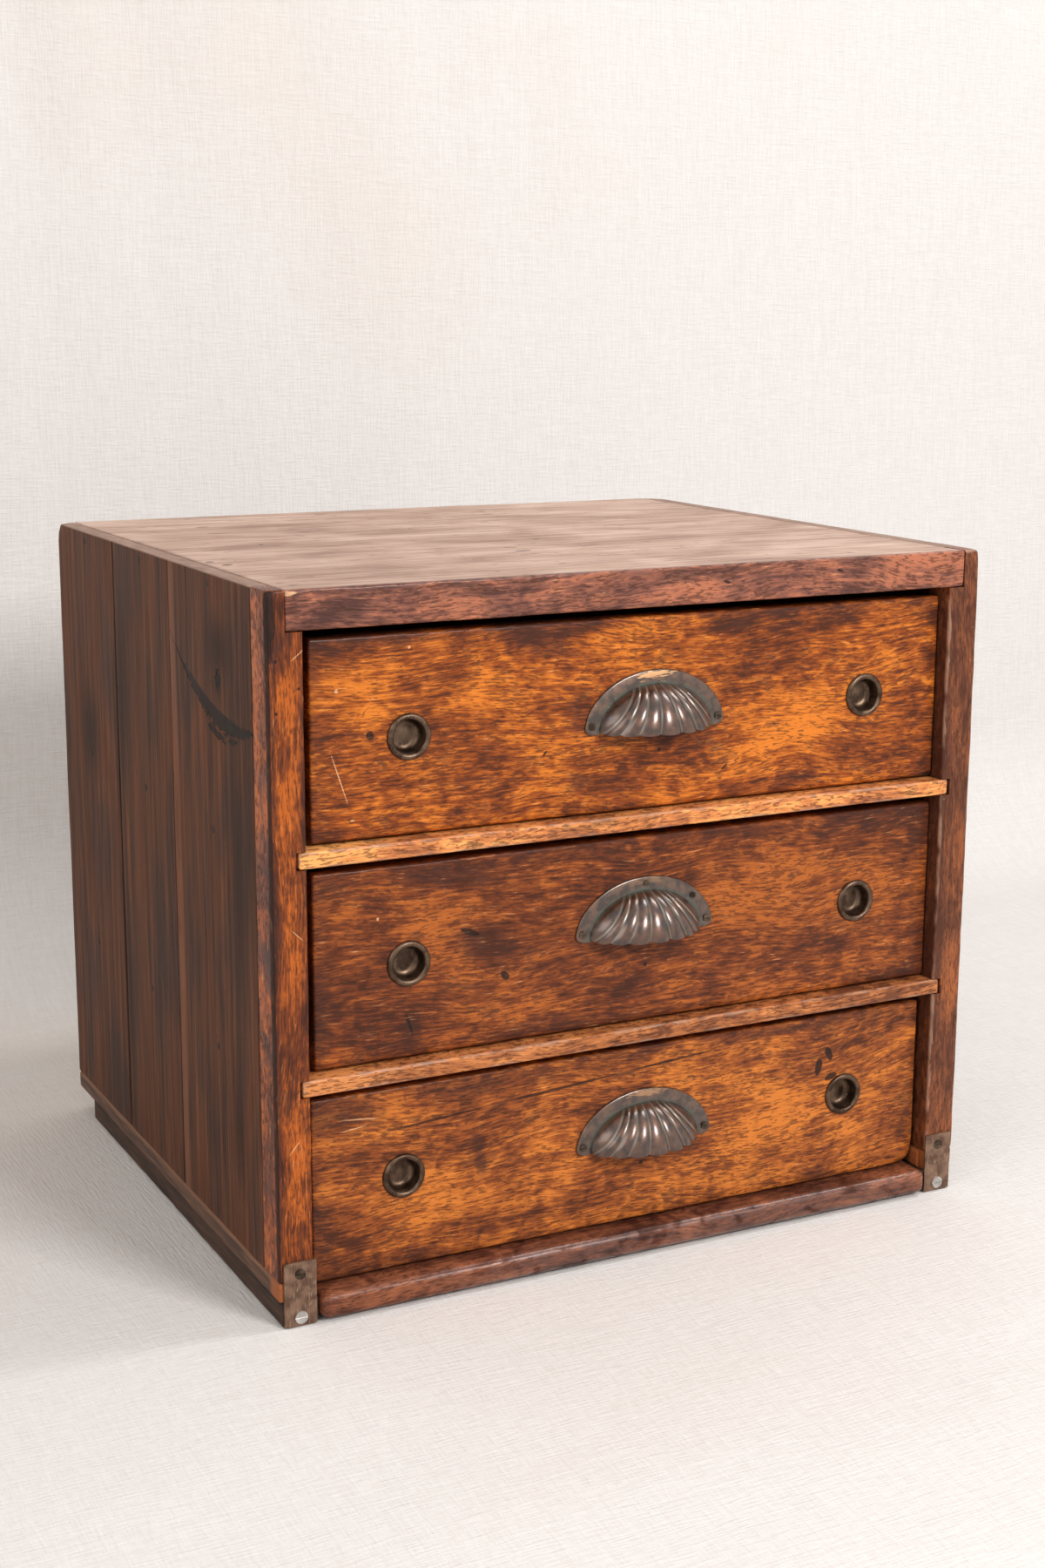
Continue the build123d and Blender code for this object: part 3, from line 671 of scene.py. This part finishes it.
def upright_cedar(name, top_z, seed, dark=(), warm=(), torn=(), gouge=()):
    """Dark old softwood with upright grain and paler sawn ends. Dark, warm and torn are lists of
    spots. A gouge is a bent line: its middle, its slope and bend there, half its length and half
    its width."""
    wood = Finish(name, facing=0, Specular_IOR_Level=0.12)
    hair = wood.cloud((0.9, 0.9, 50), 3.0, seed, warp=0.2)
    band = wood.cloud((5, 5, 190), 3.0, seed + 1, warp=0.3)
    patch = wood.cloud((28, 28, 80), 4.0, seed + 2, warp=0.4)
    slit = wood.cloud((0.8, 0.8, 9), 1.0, seed + 3)
    tone = hair * 0.34 + band * 0.32 + patch * 0.34
    if warm:
        tone = tone + wood.spots(warm, 1.0) * 0.04
    colour = wood.blend(wood.step(tone, 0.40, 0.51), srgb(52, 30, 19), srgb(83, 50, 33))
    colour = wood.blend(wood.step(tone, 0.49, 0.64), colour, srgb(128, 77, 47))
    if warm:
        colour = wood.blend(wood.spots(warm, 0.7) * (0.3 + hair * 0.5), colour, srgb(134, 88, 64))
    soot = wood.step(patch * 0.6 + hair * 0.4, 0.53, 0.64) * 0.5
    if dark:
        soot = soot.most(wood.spots(dark, 1.0) * (0.45 + hair * 0.8))
    colour = wood.blend(soot.least(0.9), colour, srgb(42, 26, 18))
    cracks = wood.step(slit, 0.73, 0.78)
    colour = wood.blend(cracks * 0.6, colour, srgb(38, 27, 22))
    relief = hair * 0.5 + band * 0.3 - cracks * 0.4
    if gouge:
        middle_y, middle_z, slope, bend, half_length, half_width = gouge
        sliver = wood.cloud((3, 7, 2.2), 4.0, seed + 6, warp=0.6)
        along = wood.axis("Y") - middle_y
        off = wood.axis("Z") - middle_z - along * (along * bend + slope) + (sliver - 0.5) * (6 * mm)
        wide = wood.step(along.size(), half_length, 0.2 * half_length) * half_width * (sliver + 0.3)
        tear = wood.step(wide - off.size(), -1.0 * mm, 0.8 * mm)
        tear = tear.most(wood.step(wood.spots(torn, 0.8) + (sliver - 0.5) * 2.0, 0.4, 0.7))
        colour = wood.blend(tear * 0.9, colour, srgb(30, 24, 21))
        relief = relief - tear * 2.5
    sawn = wood.step(wood.axis("Z"), top_z - 1.2 * mm, top_z - 0.3 * mm)
    end = wood.cloud((4, 14, 4), 4.0, seed + 5)
    colour = wood.blend(sawn, colour, wood.blend(end, srgb(104, 80, 68), srgb(182, 150, 132)))
    return wood.paint(colour, 0.42 + patch * 0.3, relief, 0.35 * mm)


side_looks = {
    "left_side_board_front": {
        "dark": on_left(
            (-104, 321, 10, 14), (-105, 338, 30, 30, 0.4), (-128, 225, 20, 110), (-120, 90, 20, 70),
        ),
        "warm": on_left((-32.5, 200, 8, 600)),
        "torn": on_left(
            (-104, 321.4, 6.5, 8), (-99.9, 293.7, 19, 3.5, 0.22), (-125, 293.5, 12, 2.5, -0.1),
        ),
        "gouge": (-0.1, 0.3023, 0.2095, 3.95, 0.068, 0.0055),
    },
    "left_side_board_middle": {
        "dark": on_left((62, 290, 20, 100), (64, 120, 12, 120), (71.5, 200, 4, 600)),
    },
    "left_side_board_rear": {
        "dark": on_left((128, 255, 30, 50), (71.5, 200, 4, 600)),
    },
}
open_joint = 0.8 * mm
tight_joint = 0.1 * mm
for hand, sign in (("left", -1), ("right", 1)):
    for name in ("front", "middle", "rear"):
        node = f"{hand}_side_board_{name}"
        low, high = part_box(node)
        low = low + Vector((0, open_joint if name == "rear" else tight_joint, 0))
        high = high - Vector((0, open_joint if name == "middle" else tight_joint, 0))
        corner = [((low.x if sign < 0 else high.x, high.y, high.z), 6 * mm, 4 * mm)] if name == "rear" else []
        board = worn_board(f"{node}_wood", low, high, 0.8 * mm, 0.5, 0.3 * mm, 5 * mm, corner)
        finish = upright_cedar(f"{node}_cedar", high.z, 3.0 + len(name) + sign, **side_looks.get(node, {}))
        stand_for(board, finish, "carcass", "side_cedar", node)

# ---- Shelves and guides --------------------------------------------------------------
# Two light oak rails are let into the stiles' faces, with softwood shelf boards and drawer
# guides behind them.

rail_tones = {
    "upper": ((142, 85, 54), (210, 130, 74), (248, 174, 100)),
    "lower": ((112, 64, 40), (170, 102, 58), (214, 138, 80)),
}
for level in ("upper", "lower"):
    node = f"{level}_shelf_rail"
    low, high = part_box(node)
    rail = worn_board(f"{node}_wood", low, high, 1.2 * mm, 0.35, 0.15 * mm, 3 * mm)
    finish = lacquered_oak(
        f"{level}_rail_oak", "x", (low, high), rail_tones[level], 21.0 + len(level), edge=0.3,
        clean=(0.05, 0.05, 0.015, 0.015),
        glow=[((-0.185, 0, (low.z + high.z) / 2), (0.05, 1, 0.02), 0)],
    )
    stand_for(rail, finish, "carcass", "rail_oak", node)
    refinish(inner_finish, f"{level}_shelf_board")
refinish(deep_finish, "left_drawer_guides", "right_drawer_guides")

# ---- Top front rail ------------------------------------------------------------------
# A lacquered oak rail lapped into the tops of the stiles. A thin lip of it shows in front
# of the top boards.

low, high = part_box("top_front_rail")
top_rail = worn_board("top_front_rail_wood", low, high, 1.4 * mm, 0.6, 0.2 * mm, 4 * mm, [
    ((low.x + 6 * mm, low.y, high.z), 5 * mm, 0.9 * mm),
    ((high.x * 0.62, low.y, high.z), 6 * mm, 0.8 * mm),
])
lip = 2.5 * mm
top_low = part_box("top_board_front")[0]
rabbet = bmesh.new()
block(rabbet, (low.x - past, low.y + lip, top_low.z), (high.x + past, high.y + past, high.z + past))
cut(top_rail, rabbet)
top_rail_finish = lacquered_oak(
    "top_rail_oak", "x", (low, high), ((82, 48, 42), (128, 79, 64), (178, 108, 78)), 31.0,
    edge=0.5, gloss=0.3, clean=(0.02, 0.02, 0.004, 0.004),
    glow=on_front((150, 366, 60, 20), (20, 362, 40, 8)),
    grime=on_front((-100, 370, 25, 6, 0.3), (-170, 363, 20, 10), (30, 371, 50, 4)),
    marks=on_front((45.8, 365.2, 3, 1.2, 0.3), (116.9, 367.5, 3, 1, 0.2)),
    pale=on_front((-198, 372.5, 6, 2), (122, 376, 6, 1.5)),
)
stand_for(top_rail, top_rail_finish, "carcass", "lacquered_oak", "top_front_rail")

# ---- Back boards ---------------------------------------------------------------------
# Three rough softwood boards close the back between the sides.

back_finish = plain_softwood(
    0.5 * mm, "back_softwood", (78, 58, 46), (122, 92, 70), (150, 118, 90),
    (150, 30, 9), (50, 4, 1.6), 5.0,
)
for level in ("lower", "middle", "upper"):
    node = f"back_board_{level}"
    low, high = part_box(node)
    low, high = low + Vector((0, 0, 0.3 * mm)), high - Vector((0, 0, 0.3 * mm))
    board = worn_board(f"{node}_wood", low, high, 0.9 * mm, 0.5, 0.3 * mm, 6 * mm)
    if level == "lower":
        corners = bmesh.new()
        for hand in ("left", "right"):
            rail_low, rail_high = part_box(f"{hand}_base_rail")
            block(corners, rail_low - Vector((2 * past, 0, 2 * past)), rail_high + Vector((0, 2 * past, 0)))
        cut(board, corners)
    stand_for(board, back_finish, "carcass", "inner_cedar", node)

# ---- Top boards ----------------------------------------------------------------------
# Three dry, scuffed softwood boards lie between the sides. They have gone pale, and a
# strip of the rear edge has broken away on the right.


def on_top(*rows):
    """Spots on the top, by their places along x and y."""
    return on_face(2, cad_high.z, rows)


top_wood = Finish("top_softwood", facing=2, Specular_IOR_Level=0.3)
top_hair = top_wood.cloud((50, 1.3, 1.3), 3.0, 7.0, warp=0.2)
top_band = top_wood.cloud((150, 9, 9), 3.0, 8.0, warp=0.3)
top_patch = top_wood.cloud((70, 45, 45), 5.0, 9.0, warp=0.6)
top_tone = top_hair * 0.42 + top_band * 0.2 + top_patch * 0.38
top_colour = top_wood.blend(top_wood.step(top_tone, 0.38, 0.52), srgb(142, 110, 93), srgb(186, 154, 137))
top_colour = top_wood.blend(top_wood.step(top_tone, 0.5, 0.62), top_colour, srgb(212, 184, 168))
scuffs = top_wood.step(top_wood.cloud((17, 6, 6), 5.0, 3.0, warp=1.2), 0.62, 0.70)
top_colour = top_wood.blend(scuffs * 0.55, top_colour, srgb(112, 84, 70))
top_worn_edge = top_wood.spots(on_top((0, -172, 260, 7), (-200, 0, 5, 200)), 1.0)
top_colour = top_wood.blend(top_worn_edge * 0.5, top_colour, srgb(120, 90, 74))
top_holes = top_wood.spots(on_top(
    (-139, 121, 6, 1.6, 0.1), (-142, 84, 9, 1.5, -0.2), (-194, -50, 3, 2.8),
    (-190, -66, 4.5, 2.4, 0.4), (-22, -72, 7, 2, 0.2), (-21, -53.5, 5, 1.2, -0.3),
    (-141, 16, 2.2, 2.2), (-93, 72, 8, 1.3, 0.2), (52, 123, 5, 1.4),
), 0.6)
top_holes = top_wood.step(top_holes + (top_patch - 0.5) * 1.5, 0.3, 0.6)
top_colour = top_wood.blend(top_holes * 0.9, top_colour, srgb(48, 34, 28))
top_rough = 0.5 + top_patch * 0.3
top_relief = top_hair * 0.5 + top_band * 0.3 - scuffs * 0.5 - top_holes * 2.0
top_finish = top_wood.paint(top_colour, top_rough, top_relief, 0.4 * mm)
for name in ("front", "middle", "rear"):
    node = f"top_board_{name}"
    low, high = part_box(node)
    low, high = low + Vector((0.6 * mm, tight_joint, 0)), high - Vector((0.6 * mm, tight_joint, 0))
    board = worn_board(f"{node}_wood", low, high, 0.6 * mm, 0.5, 0.25 * mm, 5 * mm)
    if name == "rear":
        strip = bmesh.new()
        block(strip, (62 * mm, high.y - 2 * mm, low.z - past),
              (high.x + past, high.y + past, high.z + past))
        cut(board, strip)
    stand_for(board, top_finish, "carcass", "top_cedar", node)

# ---- Corner straps and their screws --------------------------------------------------
# A thin dark metal strap ties each stile to its skid. One old dark screw and one newer
# bright one hold it.


def old_metal(name, dark, middle, light, metallic, rough, depth=0.1 * mm, seed=0.0):
    """Handled metal with tarnish in patches and relief of a depth."""
    metal = Finish(name, Metallic=metallic)
    patch = metal.cloud((6, 6, 6), 4.0, seed)
    scuff = metal.cloud((0.7, 0.7, 5), 2.0, seed + 2)
    colour = metal.blend(metal.step(patch, 0.35, 0.65), srgb(*dark), srgb(*middle))
    colour = metal.blend(metal.step(scuff, 0.58, 0.75) * 0.5, colour, srgb(*light))
    return metal.paint(colour, rough + patch * 0.2, scuff * 0.4 + patch * 0.6, depth)


strap_finish = old_metal(
    "strap_plate", (98, 72, 57), (136, 107, 88), (196, 172, 148), 0.6, 0.34, 0.2 * mm
)
refinish(strap_finish, "left_corner_strap", "right_corner_strap")
dark_screw_finish = old_metal(
    "old_screw_metal", (58, 48, 40), (98, 84, 70), (150, 130, 108), 0.9, 0.35
)
refinish(dark_screw_finish, "strap_screws_old")
new_screw_finish = old_metal(
    "new_screw_metal", (172, 168, 164), (208, 206, 202), (236, 234, 230), 0.9, 0.28, 0.05 * mm
)
refinish(new_screw_finish, "strap_screws_new")

# ---- Drawer boxes --------------------------------------------------------------------
# Each drawer is a plain softwood box behind its oak front, nailed at the corners.

levels = ("upper", "middle", "lower")
for level in levels:
    refinish(deep_finish, f"{level}_drawer_left_side", f"{level}_drawer_right_side")
    refinish(inner_finish, f"{level}_drawer_back", f"{level}_drawer_bottom")

# ---- Drawer fronts -------------------------------------------------------------------
# Thick lacquered oak, glossy and rubbed bright in the middle, with dirt towards the edges.
# The back is rebated for the box, and the face is bored for two finger cups.

cup_body_radius = 9.55 * mm
cup_depth = 8.1 * mm
bore_sides = 48
front_looks = {
    "upper": {
        "tones": ((78, 35, 14), (143, 69, 23), (216, 122, 40)),
        "glow": on_front(
            (-89, 313, 75, 22, 0.15), (-49, 290, 55, 34, 0.3), (95, 285, 60, 50, -0.5),
            (-150, 309, 25, 20),
        ),
        "grime": on_front(
            (-184, 348, 30, 20, 0.4), (-140, 348, 40, 8), (-56, 337, 20, 8),
            (-25, 262, 30, 10, 0.2), (-184, 250, 30, 10), (-35, 300, 12, 16),
        ),
        "marks": on_front(
            (-56, 281.3, 0.8, 2.4, 0.7), (-153.1, 298.7, 3, 3), (11.8, 277.6, 1.6, 1.6),
            (52.5, 264.5, 3, 0.7, -0.7), (190, 248, 10, 2),
        ),
        "pale": on_front(
            (-169.5, 278, 0.5, 21, -0.32), (-170.8, 322.2, 1.8, 1.8), (-131.7, 341.4, 1.2, 1.2),
            (-163, 257, 1.8, 0.9),
        ),
    },
    "middle": {
        "tones": ((66, 31, 16), (114, 55, 24), (174, 94, 37)),
        "glow": on_front(
            (90, 185, 100, 55, -0.1), (60, 190, 40, 30), (-120, 190, 30, 30),
            (-60, 145, 50, 15, 0.1),
        ),
        "grime": on_front(
            (-181, 226, 30, 16), (-110, 222, 50, 10, 0.1), (-90, 185, 30, 14, 0.3),
            (-133, 146, 8, 16, 0.4), (-184, 160, 12, 40),
        ),
        "marks": on_front(
            (-98.6, 191.7, 8, 2.2, 0.4), (-78.6, 165.7, 4, 2.5, 0.9), (-133, 147, 1.2, 9, -0.3),
            (5.4, 160.5, 1.6, 1.6),
        ),
        "pale": on_front((-150, 205, 1.2, 1.2)),
    },
    "lower": {
        "tones": ((76, 37, 19), (139, 71, 30), (206, 119, 46)),
        "glow": on_front((-130, 50, 60, 30), (90, 60, 110, 60, -0.1), (100, 50, 50, 30, -0.1)),
        "grime": on_front(
            (-93.5, 70, 5, 21, -0.15), (-178, 103, 40, 18, 0.1), (-80, 108, 60, 8),
            (100, 110, 80, 4),
        ),
        "marks": on_front(
            (120, 84.5, 3, 7.5, 0.2), (126.9, 91.2, 2.6, 6, -0.4), (128.5, 77.5, 6, 2.6, -0.3),
            (4.7, 48, 1.8, 1.8),
        ),
        "cracks": on_front(
            (-118, 93.5, 36, 0.7, -0.07), (-46, 98.6, 46, 0.9, -0.071),
            (22.5, 103.5, 37, 0.7, -0.07),
        ),
        "pale": on_front((-160, 100.5, 16, 0.5, 0.1), (-165, 96, 12, 0.4, -0.1)),
    },
}


def drum(cutter, middle, radius, depth):
    """Add a round bar that goes in from a drawer's face to a cutter."""
    into_face = Matrix.Translation(Vector(middle)) @ Euler((math.pi / 2, 0, 0)).to_matrix().to_4x4()
    bmesh.ops.create_cone(
        cutter, cap_ends=True, segments=bore_sides, radius1=radius, radius2=radius,
        depth=2 * depth, matrix=into_face,
    )


for seed, level in enumerate(levels):
    node = f"{level}_drawer_front"
    low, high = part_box(node)
    corner = [((high.x, low.y, low.z), 9 * mm, 4 * mm)] if level == "lower" else []
    front = worn_board(f"{node}_wood", low, high, 1.7 * mm, 0.35, 0.3 * mm, 3.5 * mm, corner)
    sides = {hand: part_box(f"{level}_drawer_{hand}_side") for hand in ("left", "right")}
    panel_low, panel_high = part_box(f"{level}_drawer_bottom")
    cups_low, cups_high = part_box(f"{level}_drawer_finger_cups")
    rim = (cups_high.z - cups_low.z) / 2
    rebates = bmesh.new()
    left_x, right_x = low.x - 2 * past, high.x + 2 * past
    foot_z, top_z = low.z - 4 * past, high.z + 2 * past
    block(rebates, (left_x, panel_low.y, low.z - 2 * past), (right_x, high.y + 2 * past, panel_high.z))
    block(rebates, (left_x, panel_low.y, foot_z), (sides["left"][1].x, high.y + 4 * past, top_z))
    block(rebates, (sides["right"][0].x, panel_low.y, foot_z), (right_x, high.y + 4 * past, top_z))
    cut(front, rebates)
    bores = bmesh.new()
    for x in (cups_low.x + rim, cups_high.x - rim):
        drum(bores, (x, low.y, cups_low.z + rim), cup_body_radius, cup_depth)
    cut(front, bores)
    finish = lacquered_oak(
        f"{level}_front_oak", "x", (low, high), seed=41.0 + 7 * seed, **front_looks[level]
    )
    stand_for(front, finish, f"{level}_drawer", "lacquered_oak", node)

# ---- Finger cups ---------------------------------------------------------------------
# Spun brass cups, dark with age, pressed into the fronts. Each has a rolled rim and a
# dished bottom.

cup_finish = old_metal(
    "cup_bronze", (66, 50, 40), (104, 84, 68), (150, 126, 104), 0.9, 0.28, seed=3.0
)
cup_bore = 8.65 * mm
cup_turns = 72


def turned(name, middles, profile):
    """Rings round the depth of a drawer's face, from a profile of radii and depths."""
    points, faces = [], []
    for middle in middles:
        start = len(points)
        for radius, depth in profile:
            for turn in range(cup_turns):
                angle = 2 * math.pi * turn / cup_turns
                points.append((
                    middle.x + radius * math.cos(angle),
                    middle.y + depth,
                    middle.z + radius * math.sin(angle),
                ))
        for ring in range(len(profile) - 1):
            for turn in range(cup_turns):
                beside = (turn + 1) % cup_turns
                base = start + ring * cup_turns
                faces.append((
                    base + turn, base + beside, base + cup_turns + beside, base + cup_turns + turn
                ))
        last = start + (len(profile) - 1) * cup_turns
        faces.append([start + turn for turn in range(cup_turns)][::-1])
        faces.append([last + turn for turn in range(cup_turns)])
    return new_piece(name, points, faces)


for level in levels:
    node = f"{level}_drawer_finger_cups"
    low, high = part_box(node)
    face_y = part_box(f"{level}_drawer_front")[0].y
    rim = (high.z - low.z) / 2
    roll = (rim - cup_bore) / 2
    deep = high.y - face_y
    profile = [(0.3 * mm, deep), (cup_body_radius - 0.15 * mm, deep), (cup_body_radius - 0.15 * mm, 0.0)]
    for angle in np.linspace(0, math.pi, 13):
        profile.append((cup_bore + roll + roll * math.cos(angle), -roll * math.sin(angle)))
    bowl_floor = deep - 0.9 * mm
    bend = 3.6 * mm
    profile.append((cup_bore, bowl_floor - bend))
    for angle in np.linspace(0.2, math.pi / 2, 7):
        profile.append((
            cup_bore - bend + bend * math.cos(angle), bowl_floor - bend + bend * math.sin(angle)
        ))
    profile += [(3.0 * mm, bowl_floor - 0.25 * mm), (0.3 * mm, bowl_floor - 0.4 * mm)]
    middles = [Vector((x, face_y, low.z + rim)) for x in (low.x + rim, high.x - rim)]
    cups = turned(f"{level}_finger_cups", middles, profile)
    cups.data.shade_smooth()
    cups.data.set_sharp_from_angle(angle=math.radians(50))
    stand_for(cups, cup_finish, f"{level}_drawer", "bronze_hardware", node)

# ---- Cup pulls and their screws ------------------------------------------------------
# Pressed brass cup pulls with a flat flange and a fluted shell, bronzed dark and polished
# by hands on the ribs, with green in the grooves. A screw holds each ear.

flange_thick = 1.4 * mm
ear_round = 4.0 * mm
shell_half_width = 34.7 * mm
shell_axis_depth = 7.0 * mm
shell_radius = 26.0 * mm
shell_half_length = 36.1 * mm
shell_thick = 1.2 * mm
pole_z = 38.0 * mm             # where the grooves would meet, above the flange's lower edge
grooves = (0.172, 0.474, 0.70, 0.87)   # slopes of the grooves' lines from the pole
groove_marks = [-groove for groove in reversed(grooves)] + list(grooves)
groove_share = 0.15            # depth of a groove in widths of its rib
last_rib_slope = 1.22          # where the outermost ribs would end
shell_edge_slope = 1.205       # where the shell does
rib_roundness = 0.55
outer_rib_share = 0.35         # the outermost ribs have shallower grooves
rib_steps = 10
fall_steps = 28
rubbed_to_brass = {"upper": 0.9, "middle": 0.15, "lower": 0.5}


def flange(middle, half_width, height):
    """A flat arched plate with rounded ears and a soft outer edge, open under the shell."""
    turns = np.linspace(math.pi, 0, 81)
    outer = [(half_width * math.cos(turn), height * math.sin(turn)) for turn in turns]
    outer = [(x, z) for x, z in outer if z > ear_round * 0.9]
    ear = [(math.cos(turn), math.sin(turn)) for turn in np.linspace(math.pi / 2, 0, 9)]
    side_x = max(abs(x) for x, _ in outer)
    left = [(-side_x + ear_round * 0.9 * (1 - c), ear_round * 0.9 * (1 - s)) for c, s in ear]
    right = [(-x, z) for x, z in left][::-1]
    outline = left + outer + right
    inner = []
    for share in np.linspace(0, 1, len(outline)):
        turn = math.pi * (1 - share)
        inner.append(((shell_half_width - 1.0 * mm) * math.cos(turn), 24.0 * mm * math.sin(turn)))
    soft = ((0.0, 0.0), (0.0, 0.7), (0.3, 1.15), (0.9, 1.4))
    points, faces = [], []
    for (ox, oz), (ix, iz) in zip(outline, inner):
        length = math.hypot(ix - ox, iz - oz)
        for inset, rise in soft:
            share = inset * mm / length
            points.append((
                middle.x + ox + (ix - ox) * share,
                middle.y - rise * mm,
                middle.z + oz + (iz - oz) * share,
            ))
        points.append((middle.x + ix, middle.y - flange_thick, middle.z + iz))
        points.append((middle.x + ix, middle.y, middle.z + iz))
    ring = len(soft) + 2
    for place in range(len(outline) - 1):
        for side in range(ring):
            a = place * ring + side
            b = place * ring + (side + 1) % ring
            faces.append((a, b, b + ring, a + ring))
    faces.append(list(range(ring))[::-1])
    faces.append([(len(outline) - 1) * ring + side for side in range(ring)])
    return points, faces


def rib_height(slope):
    """0 in a groove and 1 on the crown of a rib, with the width of that rib as a slope."""
    marks = [-last_rib_slope] + groove_marks + [last_rib_slope]
    for near, far in zip(marks, marks[1:]):
        if near <= slope <= far:
            share = (slope - near) / (far - near)
            outermost = outer_rib_share if abs(near + far) > 2 * grooves[-1] else 1.0
            return math.sin(math.pi * share) ** rib_roundness, (far - near) * outermost
    return 0.0, 0.1


def shell(middle):
    """The fluted shell: points on rays that fan from the pole, on an ellipsoid."""
    marks = [-shell_edge_slope] + groove_marks + [shell_edge_slope]
    slopes = []
    for near, far in zip(marks, marks[1:]):
        slopes += list(np.linspace(near, far, rib_steps + 1))[:-1]
    slopes.append(shell_edge_slope)
    points, faces = [], []
    base_height = shell_radius * math.sqrt(1 - (shell_axis_depth / shell_radius) ** 2)
    for slope in slopes:
        a = (slope / shell_half_width) ** 2 + 1 / base_height ** 2
        b = -2 * pole_z * (slope / shell_half_width) ** 2
        c = (slope * pole_z / shell_half_width) ** 2 - 1
        root = math.sqrt(max(0.0, b * b - 4 * a * c))
        top_z, low_z = (-b + root) / (2 * a), max(0.0, (-b - root) / (2 * a))
        rib, width = rib_height(slope)
        for fall in np.linspace(0, 1, fall_steps + 1):
            z = top_z + (low_z - top_z) * fall
            x = slope * (pole_z - z)
            inside = 1 - (x / shell_half_length) ** 2 - (z / shell_radius) ** 2
            y = shell_radius * math.sqrt(max(0.0, inside)) - shell_axis_depth
            place = Vector((x, y + shell_axis_depth, z))
            normal = Vector((
                x / shell_half_length ** 2, (y + shell_axis_depth) / shell_radius ** 2, z / shell_radius ** 2
            )).normalized()
            fade = min(1.0, 6 * fall * (1.0 if low_z == 0 else 1 - fall))
            place = place - normal * (groove_share * width * (pole_z - z) * (1 - rib) * fade)
            lift = 0.8 * mm * (1 - rib) * fall ** 4 if low_z == 0 else 0.0
            points.append((
                middle.x + place.x,
                middle.y - max(0.0, place.y - shell_axis_depth),
                middle.z + place.z + lift,
            ))
    tall = fall_steps + 1
    for ray in range(len(slopes) - 1):
        for fall in range(fall_steps):
            a = ray * tall + fall
            faces.append((a, a + 1, a + tall + 1, a + tall))
    return points, faces


def pull_bronze(name, middle, rubbed):
    """Bronzed brass under clear lacquer: dark brown ribs, green-grey in the grooves and where the
    shell meets the flange, and rubbed to brass at the top of the flange where it is rubbed."""
    metal = Finish(name, Metallic=0.7, Coat_Weight=1.0, Coat_Roughness=0.22, Coat_IOR=1.65)
    patch = metal.cloud((5, 5, 5), 4.0, 5.0)
    scuff = metal.cloud((5, 0.8, 0.8), 2.0, 6.0)
    across = metal.axis("X") - middle.x
    above = metal.axis("Z") - middle.z
    proud = middle.y - metal.axis("Y")
    colour = metal.blend(metal.step(patch, 0.35, 0.65), srgb(50, 28, 17), srgb(90, 56, 35))
    below_pole = pole_z - above
    slope = metal.node("ShaderNodeMath", {"operation": "DIVIDE"}, {0: across, 1: below_pole}).size()
    near = (slope - grooves[0]).size()
    for groove in grooves[1:]:
        near = near.least((slope - groove).size())
    in_groove = metal.step(near * below_pole, 0.9 * mm, 0.3 * mm)
    colour = metal.blend(in_groove * 0.6, colour, srgb(122, 116, 102))
    flat = metal.step(proud, flange_thick + 0.6 * mm, flange_thick + 0.1 * mm)
    plate = metal.blend(metal.step(patch, 0.35, 0.65), srgb(54, 38, 28), srgb(98, 68, 48))
    colour = metal.blend(flat, colour, plate)
    out = metal.node("ShaderNodeVectorMath", {"operation": "LENGTH"}, {
        0: metal.node("ShaderNodeCombineXYZ", {}, {
            "X": across * (1 / shell_half_width), "Z": above * (1 / (25.0 * mm)),
        }),
    }, output="Value")
    seam = metal.step((out - 1.0).size() + (patch - 0.5) * 0.06, 0.06, 0.02)
    seam = seam * metal.step(proud, 5 * mm, 3 * mm)
    colour = metal.blend(seam * metal.step(patch, 0.35, 0.6), colour, srgb(66, 72, 60))
    rub = metal.spot((middle.x, 0, middle.z + 29.5 * mm), (21 * mm, 1, 3.2 * mm), 0.0, 1.0)
    rub = metal.step(rub + (scuff - 0.5) * 2.0, 0.3, 0.7) * flat * rubbed
    colour = metal.blend(rub, colour, srgb(206, 152, 100))
    rough = 0.3 + patch * 0.2 + seam * 0.3
    return metal.paint(colour, rough, patch * 0.6 + scuff * 0.2, 0.12 * mm)


for level in levels:
    node = f"{level}_drawer_cup_pull"
    low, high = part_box(node)
    face_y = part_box(f"{level}_drawer_front")[0].y
    middle = Vector(((low.x + high.x) / 2, face_y, low.z))
    pull_shell = new_piece(f"{level}_pull_shell", *shell(middle))
    thicken = pull_shell.modifiers.new("metal", "SOLIDIFY")
    thicken.thickness = shell_thick
    thicken.offset = -1.0
    settle(pull_shell)
    arch = flange(middle, (high.x - low.x) / 2, high.z - low.z)
    plate = new_piece(f"{level}_pull_plate", *arch)
    joined = bmesh.new()
    joined.from_mesh(pull_shell.data)
    joined.from_mesh(plate.data)
    bmesh.ops.recalc_face_normals(joined, faces=joined.faces)
    joined.to_mesh(pull_shell.data)
    joined.free()
    bpy.data.objects.remove(plate)
    pull_shell.name = f"{level}_cup_pull"
    pull_shell.data.shade_smooth()
    pull_shell.data.set_sharp_from_angle(angle=math.radians(50))
    finish = pull_bronze(f"{level}_pull_bronze", middle, rubbed_to_brass[level])
    stand_for(pull_shell, finish, f"{level}_drawer", "bronze_hardware", node)
    refinish(dark_screw_finish, f"{level}_drawer_pull_screws")

# ---- Nails ---------------------------------------------------------------------------
# Iron nails hold the sides to the shelves and the drawer boxes together.

nail_finish = old_metal(
    "nail_iron", (44, 34, 30), (66, 50, 42), (96, 72, 58), 0.6, 0.55, seed=9.0
)
refinish(nail_finish, "carcass_nails", *[f"{level}_drawer_nails" for level in levels])
